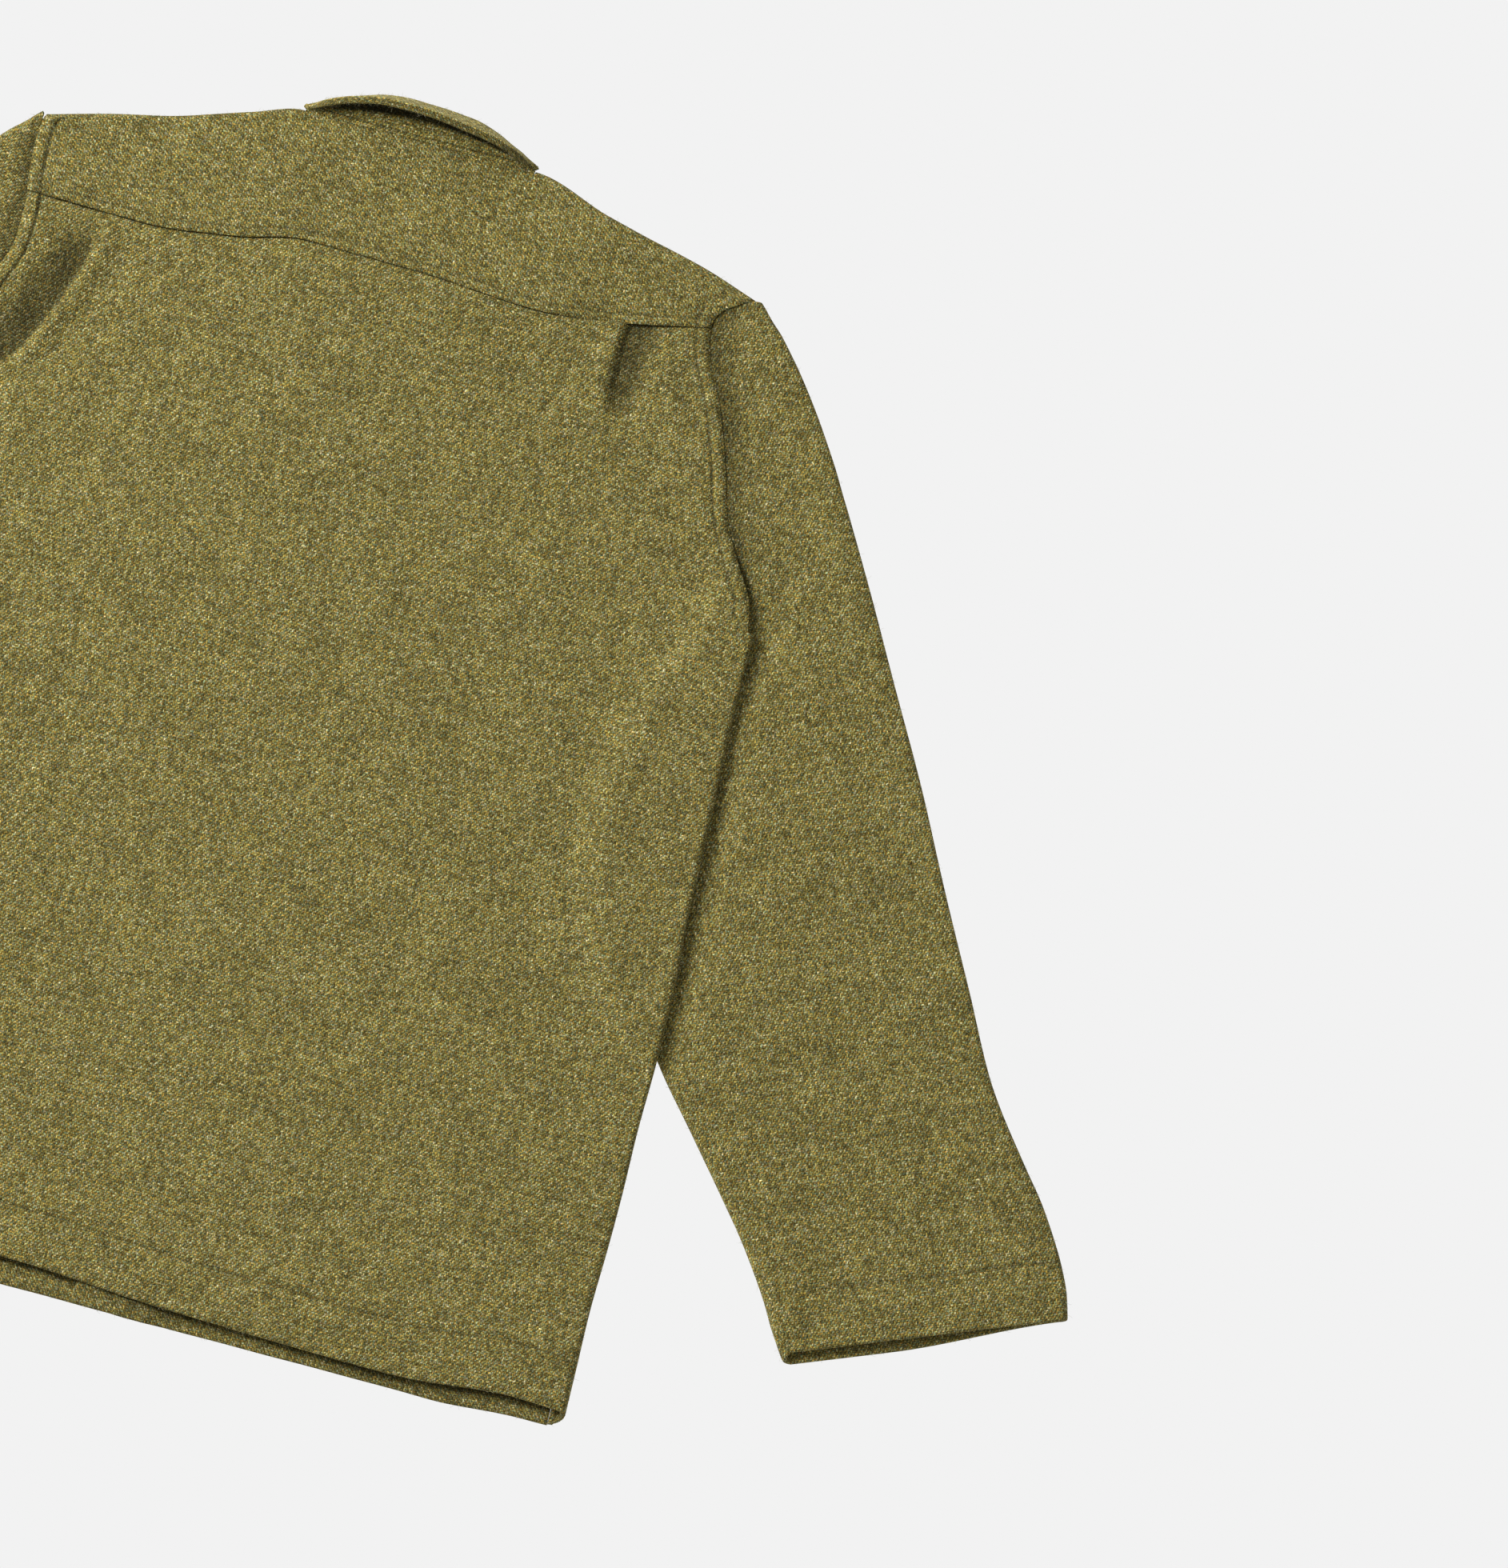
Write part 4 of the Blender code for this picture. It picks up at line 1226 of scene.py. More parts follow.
@dataclass
class YokePanel:
    """The yoke, from the yoke seam to the neck seam, turned over both shoulders onto the fronts."""

    step: float = 0.0030
    turn_steps: int = 8
    waves: Waves = Waves(21, height=0.00028)
    cut: tuple[float, float] = (0.470, 0.150)

    def relief(self, x: np.ndarray, y: np.ndarray) -> np.ndarray:
        """The creases, seam edges and grooves of the upper face.

        Args:
            x: how far right each place lies.
            y: how far up the jacket each place lies.

        Returns:
            The heights in metres.
        """
        above_seam = y - DRAFT.yoke_seam(x)
        at_neck = smooth((DRAFT.neck_half - np.abs(x)) / 0.010)
        below_neck = DRAFT.neck_seam_y - y
        below_shoulder = DRAFT.shoulder_line(x) - y
        flat = mix(smooth((below_shoulder - 0.004) / 0.010), 1.0, at_neck)
        creased = (crease_relief(YOKE_CREASES, x, y) + self.waves(x, y)) * flat
        creased = creased * mix(0.35, 1.0, smooth(DRAFT.from_armhole(x, y) / 0.010))
        seam = 0.0010 * dip(above_seam, 0.0014)
        band = 0.0006 * smooth((DRAFT.yoke_band - above_seam) / 0.0020)
        groove = 0.00050 * dip(above_seam - DRAFT.yoke_band, 0.0012)
        pull = 0.00018 * np.sin(x / 0.0021 + 3.0 * np.sin(x / 0.019)) * dip(above_seam - 0.003, 0.0050)
        neck = at_neck * (0.0014 * dip(below_neck, 0.0020))
        soft = DRAFT.deepest(creased, DRAFT.deepest_body)
        return soft + band - groove - seam - neck + pull + DRAFT.armhole_relief(x, y)

    def make(self, jacket: Jacket) -> None:
        """Builds the yoke.

        Args:
            jacket: the jacket that it belongs to.
        """
        near_edge = np.array([0.0, 0.9, 2.0, 3.4, 5.0, 6.8, 8.0, 8.8, 9.7, 11.0, 13.0]) * MM / 0.44
        plain = np.arange(near_edge[-1] + 0.006, 1.0 - near_edge[-1] - 0.003, self.step / 0.44)
        shares = np.array(sorted([*near_edge, *(1.0 - near_edge), *plain]))
        top_x = mix(SHOULDER_LINE[0].x, SHOULDER_LINE[-1].x, shares)
        for side in (-1, 1):
            corner = int(np.abs(top_x - side * DRAFT.neck_half).argmin())
            top_x[corner] = side * DRAFT.neck_half
            top_x[corner - side] = side * (DRAFT.neck_half - 0.0006)
        bottom_left = -float(DRAFT.armhole_left(DRAFT.yoke_seam(YOKE_SEAM[0].x)))
        bottom_right = float(DRAFT.armhole_right(DRAFT.yoke_seam(YOKE_SEAM[-1].x)))
        bottom_x = mix(bottom_left, bottom_right, shares)
        in_neck = smooth((DRAFT.neck_half - np.abs(top_x)) / 0.015)
        edge_y = mix(DRAFT.shoulder_line(top_x), DRAFT.neck_seam_y, in_neck)
        at_shoulder = smooth((np.abs(top_x) - DRAFT.neck_half + 0.0005) / 0.0005)
        top_y = edge_y - at_shoulder * DRAFT.shoulder_lean[1] * DRAFT.body_loft / 2
        last_x = top_x - at_shoulder * np.sign(top_x) * DRAFT.shoulder_lean[0] * DRAFT.body_loft / 2
        rises = spaced(0.0, 1.0, self.step / 0.08, (0.0, DRAFT.yoke_band / 0.08, 1.0), 0.0008 / 0.08)[:, None]
        y = mix(DRAFT.yoke_seam(bottom_x) + DRAFT.seam_gap, top_y, rises)
        x = mix(bottom_x, last_x, rises)
        for side, armhole, column in ((-1, DRAFT.armhole_left, 0), (1, DRAFT.armhole_right, -1)):
            edge = side * (armhole(y[:, column]) - DRAFT.seam_gap)
            near = smooth((np.abs(shares - 0.5) - 0.32) / 0.18) * (np.sign(shares - 0.5) == side)
            x = x + (edge - x[:, column])[:, None] * near[None, :]
        z = DRAFT.lift(x, y) + DRAFT.body_loft + self.relief(x, y)
        main = np.stack([x, y, z], axis=-1)
        points = np.concatenate([main, self.shoulder_turn(top_x, edge_y)])
        grain = laid_grain(points, points[..., :2], (0, len(main) - 1), (0, points.shape[1] - 1))
        grain = np.stack([grain[..., 1], -grain[..., 0]], axis=-1)
        # Painted shade along the yoke seam, the neck seam, the armhole and the stitch groove above the yoke seam
        above_seam, below_neck = y - DRAFT.yoke_seam(x), DRAFT.neck_seam_y - y
        neck = 1.0 - 0.40 * dip(below_neck, 0.0006) * smooth((DRAFT.neck_half - np.abs(x)) / 0.004)
        shade = (1.0 - 0.34 * dip(above_seam, 0.0006)) * neck * DRAFT.armhole_shade(x, y)
        shade = shade * (1.0 - 0.30 * dip(above_seam - DRAFT.yoke_band, 0.0009))
        shade = np.pad(shade, ((0, len(points) - len(main)), (0, 0)), constant_values=1.0)
        shell = ClothShell("yoke_panel", points, False, grain, shade)
        jacket.add(shell, "yoke", self.cut, ["front_panel_left", "front_panel_right"])

    def shoulder_turn(self, top_x: np.ndarray, edge_y: np.ndarray) -> np.ndarray:
        """The half round over both shoulders, and the strip under it down to the fronts.

        Args:
            top_x: how far right each column meets the edge.
            edge_y: how far up it meets the edge.

        Returns:
            The rows past the edge, with no number at the neck.
        """
        side = np.sign(top_x)
        low = DRAFT.lift(top_x, edge_y)
        rows = []
        outs, heights = [], []
        for angle in np.linspace(0.0, math.pi, self.turn_steps + 1)[1:]:
            out, z = turn_along(np.zeros_like(low), low, low + DRAFT.body_loft, np.full_like(low, angle))
            outs.append(out)
            heights.append(z)
        for inset in np.linspace(DRAFT.body_loft / 2, DRAFT.yoke_turn, 5)[1:]:
            outs.append(np.full_like(low, -inset))
            heights.append(low)
        for step, (out, z) in enumerate(zip(outs, heights)):
            x = top_x + side * DRAFT.shoulder_lean[0] * out
            y = edge_y + DRAFT.shoulder_lean[1] * out
            upper = step < self.turn_steps // 2
            for column, hand, own in ((0, -1, DRAFT.armhole_left), (-1, 1, DRAFT.armhole_right)):
                seam = own if upper else DRAFT.armhole_under
                x[column] = hand * (float(seam(y[column])) - DRAFT.seam_gap)
            row = np.stack([x, y, z], axis=-1)
            row[np.abs(top_x) < DRAFT.neck_half - 1e-6] = np.nan
            rows.append(row)
        return np.array(rows)


@dataclass
class FrontPanel:
    """A front, under the back: its outer face lies on the floor, and its hem is turned up inside."""

    side: int
    name: str
    node: str
    step: float = 0.0052
    hem_fold: float = 0.0017
    cut: tuple[float, float] = (0.300, 0.755)
    lip_waves: Waves = Waves(31, count=10, shortest=0.05, longest=0.20, height=0.00035)

    def make(self, jacket: Jacket) -> None:
        """Builds the front.

        Args:
            jacket: the jacket that it belongs to.
        """
        near_lap = spaced(-DRAFT.front_overlap, FRONT_NECKLINE[-1].x, 0.0042)
        beyond = np.linspace(0.0, 1.0, 42)[1:]
        low_edge = DRAFT.front_hem_y + self.hem_fold
        stitch = DRAFT.front_hem_y + DRAFT.hem_depth
        side_y = spaced(
            low_edge, float(DRAFT.front_top(self.side, np.float64(0.2142))), self.step, (stitch,), 0.0012
        )
        rows = []
        for y_side in side_y:
            if y_side > DRAFT.underarm_y + 0.001:
                outer = float(DRAFT.armhole_under(y_side)) - DRAFT.seam_gap
            else:
                outer = float(DRAFT.body_half(y_side)) - DRAFT.side_seam_inset - DRAFT.seam_gap
            across = np.concatenate([near_lap, mix(near_lap[-1], outer, beyond)])
            rise = (y_side - low_edge) / (float(DRAFT.front_top(self.side, np.float64(outer))) - low_edge)
            top = DRAFT.front_top(self.side, across) - 2 * DRAFT.seam_gap
            y = mix(low_edge, top, rise)
            y = y + 0.004 * smooth((across - 0.20) / 0.06) * smooth(1 - 12 * rise)
            y = y + self.lip_waves(self.side * across, 0 * across) * smooth(1 - 12 * rise)
            z = DRAFT.lift(across, y)
            if self.side > 0:
                # Past the other front's edge the lap hangs lower, so both hems end on one line
                lap = smooth((DRAFT.front_overlap + 0.017 - across) / 0.014) * smooth((across + 0.008) / 0.022)
                y = y - 0.0010 * lap * smooth(1 - 12 * rise)
                over_hem = smooth((DRAFT.front_hem_y + DRAFT.hem_depth + 0.02 - y) / 0.015)
                step = 0.0020 + DRAFT.seam_gap + (DRAFT.hem_cloth - 0.0020) * over_hem
                z = z + step * smooth((DRAFT.front_overlap + 0.017 - across) / 0.014)
            rows.append(np.stack([self.side * across, y, z], axis=-1))
        points = turn_up_hem(np.array(rows), DRAFT.hem_depth, DRAFT.hem_cloth, self.side > 0)
        grain = laid_grain(
            points, points[..., :2], (len(points) - len(rows), len(points) - 1), (0, points.shape[1] - 1)
        )
        # Painted shade: the turned-up lip is a little darker all over, and darkest in the slot under the back's hem
        slot = DRAFT.back_hem(points[..., 0]) - points[..., 1]
        inside = points[..., 2] > 0.0020
        shade = (1.0 - inside * 0.14) * (1.0 - inside * 0.72 * smooth((0.0018 - slot) / 0.0032))
        jacket.add(ClothShell(self.name, points, self.side > 0, grain, shade), self.node, self.cut, [])


@dataclass
class SleeveTube:
    """A sleeve: a flattened tube from its turned-up cuff to the armhole, partly under the body."""

    side: int
    name: str
    node: str
    creases: tuple[Crease, ...]
    waves: Waves
    step: float = 0.0036
    fold_steps: int = 9
    under_steps: int = 22
    seam_valley: float = 0.0024
    under_body: float = 0.0014
    grain_turn: float = 22.4
    cut: tuple[float, float] = (0.470, 0.700)

    def height_at(self, x: np.ndarray, y: np.ndarray, loft: np.ndarray) -> np.ndarray:
        """The height of the upper face before its creases: pressed down under the body."""
        covered = smooth((DRAFT.body_half(y) + 0.022 - x) / 0.014) * smooth((0.165 - y) / 0.032)
        return mix(loft, DRAFT.sleeve_pressed_loft, covered)

    def rows(self) -> np.ndarray:
        """The places of the rows, counted in rows of the tables, from the cuff up."""
        outer = [(row.outer_x, row.outer_y) for row in SLEEVE + SLEEVE_CAP]
        inner = [(row.inner_x, row.inner_y) for row in SLEEVE]
        armhole = DRAFT.armhole_right if self.side > 0 else DRAFT.armhole_left
        for cap in SLEEVE_CAP:
            seam_y = cap.right_y if self.side > 0 else cap.left_y
            inner.append((float(armhole(seam_y)), seam_y))
        places = []
        for row in range(len(outer) - 1):
            longest = max(math.dist(outer[row], outer[row + 1]), math.dist(inner[row], inner[row + 1]))
            count = max(2, round(longest / self.step))
            places += [row + step / count for step in range(count)]
        return np.array([*places, len(outer) - 1.0])

    def relief(
        self, x: np.ndarray, y: np.ndarray, walked: np.ndarray, cap_share: np.ndarray, from_cuff: np.ndarray
    ) -> np.ndarray:
        """The creases, the hollow beside the armhole seam and the cuff's stitching.

        Args:
            x: how far right each place lies.
            y: how far up the jacket each place lies.
            walked: the distance from the seam or inner fold.
            cap_share: how far up the cap each row lies.
            from_cuff: the distance from the cuff's edge.

        Returns:
            The heights in metres.
        """
        total = crease_relief(self.creases, x, y) + self.waves(x, y)
        total = total * smooth(0.3 + from_cuff / 0.05)
        deep = self.seam_valley * smooth(cap_share / 0.12) * mix(1.0, 0.35, smooth((cap_share - 0.72) / 0.28))
        total = total - deep * dip(walked, 0.015) - 0.0004 * dip(walked, 0.0015) * smooth(cap_share / 0.05)
        total = DRAFT.deepest(total, DRAFT.deepest_sleeve)
        stitched = 0.00060 * dip(from_cuff - DRAFT.cuff_depth, 0.0013)
        wave = 0.00016 * np.sin(walked / 0.0021 + 4.0 * np.sin(walked / 0.021))
        ripple = wave * dip(from_cuff - DRAFT.cuff_depth, 0.006)
        turned = 0.00030 * smooth((DRAFT.cuff_depth - from_cuff) / 0.004)
        return total + turned + ripple - stitched

    def make(self, jacket: Jacket) -> None:
        """Builds the sleeve, drawn on the right and mirrored for the left one.

        Args:
            jacket: the jacket that it belongs to.
        """
        armhole = DRAFT.armhole_right if self.side > 0 else DRAFT.armhole_left
        rows = self.rows()
        closed_rows = len(SLEEVE)
        outer = np.stack(
            [
                SmoothCurve.by_row([getattr(row, name) for row in SLEEVE + SLEEVE_CAP])(rows) for name in ("outer_x", "outer_y")
            ],
            axis=-1,
        )
        inner = np.stack(
            [SmoothCurve.by_row([getattr(row, name) for row in SLEEVE])(rows) for name in ("inner_x", "inner_y")],
            axis=-1
        )
        seam_rows = SmoothCurve.by_row([cap.right_y if self.side > 0 else cap.left_y for cap in SLEEVE_CAP])
        seam_y = seam_rows(rows - closed_rows)
        closed = rows <= closed_rows - 1 + 1e-9
        bridging = np.clip(rows - (closed_rows - 1), 0.0, 1.0)[:, None]
        # Near the underarm the sleeve reaches further under the body, so that no gap opens to the floor
        tucked = self.under_body + 0.0065 * (1.0 - smooth((seam_y - DRAFT.underarm_y) / 0.050))
        upper_seam = np.stack([armhole(seam_y) - tucked, seam_y], axis=-1)
        under_seam = np.stack([DRAFT.armhole_under(seam_y) + 2 * DRAFT.seam_gap, seam_y], axis=-1)
        upper = np.where(closed[:, None], inner, mix(inner, upper_seam, smooth(bridging)))
        under = np.where(closed[:, None], inner, mix(inner, under_seam, smooth(bridging)))
        loft = mix(DRAFT.sleeve_loft, DRAFT.cuff_loft, smooth((3.0 - rows) / 2))
        outward = self.square_to(outer, 1)
        near_tip = smooth((rows - closed_rows) / (len(SLEEVE_CAP) - 4))[:, None]
        outward = mix(outward, self.unit(outer - upper), near_tip)
        outward = self.unit(outward)
        inward = self.square_to(inner, -1)
        down = self.unit(outer[0] - outer[8])
        pulled_in = (
            outward * loft[:, None] / 2, inward * self.height_at(inner[:, 0], inner[:, 1], loft)[:, None] / 2
        )
        finish = outer - pulled_in[0]
        start = np.where(closed[:, None], upper - pulled_in[1], upper)
        under_start = np.where(closed[:, None], under - pulled_in[1], under)
        from_cuff = np.maximum.accumulate(self.from_cuff(outer, inner))
        near_seam = np.array([0.0, 0.8, 1.8, 3.0, 4.6, 6.6, 9.0, 12.0, 15.5]) * MM / 0.17
        shares = np.array([*near_seam, *np.arange(near_seam[-1] + 0.02, 0.995, self.step / 0.17), 1.0])
        top = start[:, None, :] + (finish - start)[:, None, :] * shares[None, :, None]
        walked = np.linalg.norm(finish - start, axis=1)[:, None] * shares[None, :]
        cap_share = np.clip((rows - closed_rows + 1) / len(SLEEVE_CAP), 0.0, 1.0)[:, None]
        height = self.height_at(top[..., 0], top[..., 1], loft[:, None])
        relief = self.relief(top[..., 0], top[..., 1], walked, cap_share, from_cuff[:, None])
        remaining = np.linalg.norm(finish - start, axis=1)[:, None] * (1.0 - shares[None, :])
        relief = relief * smooth((remaining + 0.001) / 0.012)
        held = np.where(closed[:, None], smooth((walked + 0.001) / 0.012), 1.0)
        height = height + relief * held
        upper_face = np.concatenate([top, height[..., None]], axis=-1)
        parts = [upper_face, self.fold(outer, outward, loft)]
        under_shares = np.linspace(0.0, 1.0, self.under_steps + 1)[1:]
        lower = finish[:, None, :] + (under_start - finish)[:, None, :] * under_shares[None, :, None]
        slack = DRAFT.cuff_lip * smooth(1.0 - rows)[:, None] * smooth(under_shares * 1.6)[None, :]
        lower = lower + down[None, None, :] * slack[..., None]
        parts.append(np.concatenate([lower, 0 * lower[..., :1]], axis=-1))
        inner_loft = self.height_at(inner[:, 0], inner[:, 1], loft)
        inner_fold = self.fold(inner, inward, inner_loft)[:, ::-1]
        share = np.linspace(0.0, 1.0, self.fold_steps + 1)[1:]
        slack = DRAFT.cuff_lip * smooth(1.0 - rows)[:, None] * (1.0 - share)[None, :]
        lifted = np.concatenate([inner_fold[:, 1:], upper_face[:, :1]], axis=1)
        lifted[..., :2] += down[None, None, :] * slack[..., None]
        parts.append(np.where(closed[:, None, None], lifted, np.nan))
        points = np.concatenate(parts, axis=1)
        points[..., 0] *= self.side
        clockwise = self.side < 0
        points = turn_up_hem(points, DRAFT.cuff_depth, DRAFT.hem_cloth, clockwise)
        added, last = len(points) - len(rows), upper_face.shape[1] - 1
        grain = laid_grain(
            points, turned(points, self.side * self.grain_turn), (added, len(points) - 1), (0, last)
        )
        # Painted shadow of the body's edge on the sleeve beside the armhole seam, and painted shade in the cuff's
        # stitch groove
        beside_seam = 0.54 * dip(walked, 0.0140)
        shade = 1.0 - beside_seam * smooth(cap_share / 0.10) * mix(1.0, 0.5, smooth((cap_share - 0.75) / 0.25))
        shade = shade * (1.0 - 0.34 * dip(from_cuff[:, None] - DRAFT.cuff_depth, 0.0011))
        jacket.add(ClothShell(self.name, points, clockwise, grain, shade), self.node, self.cut, [])

    @staticmethod
    def unit(ways: np.ndarray) -> np.ndarray:
        """Each direction at length 1."""
        return ways / np.linalg.norm(ways, axis=-1, keepdims=True)

    def square_to(self, line: np.ndarray, hand: int) -> np.ndarray:
        """The level direction square to a line: to the right for hand 1, to the left for -1."""
        along = self.unit(np.gradient(line, axis=0) + 1e-12)
        return np.stack([hand * along[:, 1], -hand * along[:, 0]], axis=-1)

    @staticmethod
    def from_cuff(outer: np.ndarray, inner: np.ndarray) -> np.ndarray:
        """The mean distance of each row from the cuff's edge, along both folds."""
        walks = [
            np.concatenate([[0.0], np.cumsum(np.linalg.norm(np.diff(line, axis=0), axis=1))]) for line in (outer, inner)
        ]
        return mix(walks[0], walks[1], 0.5)

    def fold(self, line: np.ndarray, outward: np.ndarray, loft: np.ndarray) -> np.ndarray:
        """The half round at a fold, from just below the upper face to the floor."""
        angles = np.linspace(0.0, math.pi, self.fold_steps + 1)[None, 1:]
        out, z = turn_along(0.0, np.zeros_like(loft)[:, None], loft[:, None], angles)
        level = line[:, None, :] + outward[:, None, :] * out[..., None]
        return np.concatenate([level, z[..., None]], axis=-1)


class Layer(Enum):
    """The two layers of the collar, by the side of their common line that they lie on."""

    UPPER = 1
    UNDER = -1


@dataclass
class CollarRoll:
    """The collar at the back of the neck: its stand, and its leaf that stands up behind it."""

    layer: Layer
    name: str
    node: str
    rise: float = 0.26
    step: float = 0.0016
    # Painted light: how far up the stand the lit strip reaches, and how much lighter the leaf is painted; the edge's
    # stitch lines get painted shade
    lit_strip: float = 0.0105
    lit_leaf: float = 1.55
    edge_round: float = 0.00235
    band_seams: tuple[int, ...] = (3, 5, 7)
    cut: tuple[float, float] = (0.152, 0.066)

    def profile(self, roll_x: float) -> np.ndarray:
        """The line between both layers: up the stand, round the fold and out to the free edge.

        Args:
            roll_x: how far right the section lies.

        Returns:
            Its points, count x 2: how far up the jacket, and the height.
        """
        outer_y, edge_y, edge_z, radius = (
            float(SmoothCurve.of(COLLAR, "x", name)(roll_x)) for name in ("outer_y", "edge_y", "edge_z", "radius")
        )
        raised = float(DRAFT.lift(roll_x, DRAFT.neck_seam_y))
        wall = 0.0020
        seam = np.array(
            [DRAFT.neck_seam_y + 3 * DRAFT.seam_gap, raised + DRAFT.body_loft - wall - DRAFT.layer_gap / 2]
        )
        edge = np.array([edge_y, raised + edge_z])
        stand = max(outer_y - seam[0] - radius - wall, 0.0006)
        lean = math.atan(self.rise * float(smooth(stand / 0.012)))
        along = np.array([math.cos(lean), math.sin(lean)])
        across = np.array([-along[1], along[0]])
        top = seam + along * stand
        turn = math.radians(110.0)
        for _ in range(12):
            end = top + along * (radius * math.sin(turn)) + across * (radius * (1 - math.cos(turn)))
            way = edge - end
            turn = math.atan2(float(way @ across), float(way @ along))
        dive = np.array([[-0.0026, -0.0030], [-0.0016, -0.0016], [-0.0007, -0.0004]])
        shares = (0.0, 0.02, 0.045, 0.07, 0.11, 0.25, 0.4, 0.55, 0.7, 0.85, 1.0)
        points = [*(seam + dive), *(seam + (top - seam) * share for share in shares)]
        for angle in np.linspace(0.0, turn, 10)[1:]:
            points.append(
                top + along * (radius * math.sin(angle)) + across * (radius * (1 - math.cos(angle)))
            )
        leaf = float(np.linalg.norm(edge - end))
        near_edge = np.array([13.0, 9.5, 7.0, 5.0, 3.6, 2.8, 2.35]) * MM * min(1.0, leaf / 0.0145)
        further = np.linspace(leaf, near_edge[0], 8)[1:-1]
        points += [edge + (end - edge) * (place / leaf) for place in [*further, *near_edge]]
        return np.array(points)

    def make(self, jacket: Jacket) -> None:
        """Builds the layer: the upper one goes round the free edge, the under one ends beneath it.

        Args:
            jacket: the jacket that it belongs to.
        """
        waves = Waves(41, count=9, shortest=0.02, longest=0.06, height=0.00030)
        rolls = np.linspace(COLLAR[0].x, COLLAR[-1].x, round((COLLAR[-1].x - COLLAR[0].x) / self.step) + 1)
        upper = self.layer is Layer.UPPER
        rows, shades = [], []
        for roll_x in rolls:
            line = self.profile(float(roll_x))
            line = line[3] + (line - line[3]) * mix(0.22, 1.0, smooth((0.0722 - abs(roll_x)) / 0.011))
            along = np.gradient(line, axis=0)
            along = along / np.linalg.norm(along, axis=1, keepdims=True)
            outside = np.stack([along[:, 1], -along[:, 0]], axis=-1)
            steps = np.linalg.norm(np.diff(line, axis=0), axis=1)
            walked = np.concatenate([[0.0], np.cumsum(steps)])
            to_edge = walked[-1] - walked + self.edge_round
            slim = mix(0.50, 1.0, smooth((0.0725 - abs(roll_x)) / 0.015))
            free = smooth((walked - 0.006) / 0.02)
            bend = waves(np.full(len(line), roll_x), walked) * free
            reach = np.full(len(line), self.edge_round * slim)
            if not upper:
                reach = reach - 0.0011 * dip(to_edge - self.edge_round, 0.0008)
            moved = line + outside * (self.layer.value * reach + bend)[:, None]
            if upper:
                angles = np.linspace(math.pi / 2, -math.pi / 2, 17)[1:]
                stitched = np.isin(np.arange(len(angles)), self.band_seams)[:, None]
                ways = along[-1] * np.cos(angles)[:, None] + outside[-1] * np.sin(angles)[:, None]
                turn = line[-1] + outside[-1] * bend[-1] + ways * (self.edge_round - 0.0003 * stitched) * slim
                moved = np.concatenate([moved, turn])
                # Painted light on the leaf and the top of its edge, painted shade on the rest of the rounded edge,
                # darkest in its stitch lines
                band = 0.92 - 0.46 * stitched[:, 0]
                shade = np.concatenate(
                    [np.full(len(line), self.lit_leaf), np.where(angles > 0.9, self.lit_leaf, band)]
                )
            else:
                # Painted light on the stand's strip behind the neck seam, painted shadow in the gap under the leaf, and
                # painted shade in the neck seam line
                strip = max(self.lit_strip * (1.0 - (roll_x / 0.066) ** 2), 0.0006) + 0.0026
                gap = mix(0.10, 0.62, smooth((abs(roll_x) - 0.050) / 0.016))
                shade = 1.70 * mix(1.0, gap, smooth((walked - strip + 0.0006) / 0.0022))
                shade = shade * (1.0 - 0.62 * dip(walked - 0.0046, 0.0006))
            rows.append(np.concatenate([np.full((len(moved), 1), roll_x), moved], axis=1))
            shades.append(shade)
        points = np.array(rows)
        grain = np.stack([arc_lengths(points, 0), arc_lengths(points, 1)], axis=-1)
        shell = ClothShell(self.name, points, not upper, grain, np.array(shades))
        jacket.add(shell, self.node, self.cut, ["yoke_panel"])


@dataclass
class CollarEnd:
    """An end of the collar, folded flat under a front, with its leaf on the floor."""

    side: int
    name: str
    node: str
    stand: float = 0.012
    fall: float = 0.040
    cut: tuple[float, float] = (0.120, 0.075)

    def make(self, jacket: Jacket) -> None:
        """Builds the end.

        Args:
            jacket: the jacket that it belongs to.
        """
        loft = DRAFT.lift_by_collar + 0.0020
        rows = []
        for across in np.linspace(0.008, 0.0640, 26):
            slope = float(DRAFT.front_neckline.slope(across))
            inward = np.array([-slope, 1.0]) / math.hypot(slope, 1.0)
            seam = np.array([across, float(DRAFT.front_neckline(across))]) + inward * DRAFT.seam_gap
            fold = seam + inward * self.stand
            line = []
            for share in np.linspace(0.0, 1.0, 12)[:-1]:
                place = fold - inward * mix(self.stand + self.fall, loft / 2, share)
                line.append([place[0], place[1], 0.0])
            for angle in np.linspace(math.pi, 0.0, 8):
                out, z = turn_along(0.0, 0.0, loft, angle)
                line.append([*(fold + inward * out), z])
            for share in (0.5, 1.0):
                place = mix(fold - inward * loft / 2, seam, share)
                line.append([place[0], place[1], loft])
            rows.append(line)
        points = np.array(rows)
        points[..., 0] *= self.side
        grain = np.stack([arc_lengths(points, 0), arc_lengths(points, 1)], axis=-1)
        jacket.add(ClothShell(self.name, points, self.side < 0, grain), self.node, self.cut, [])


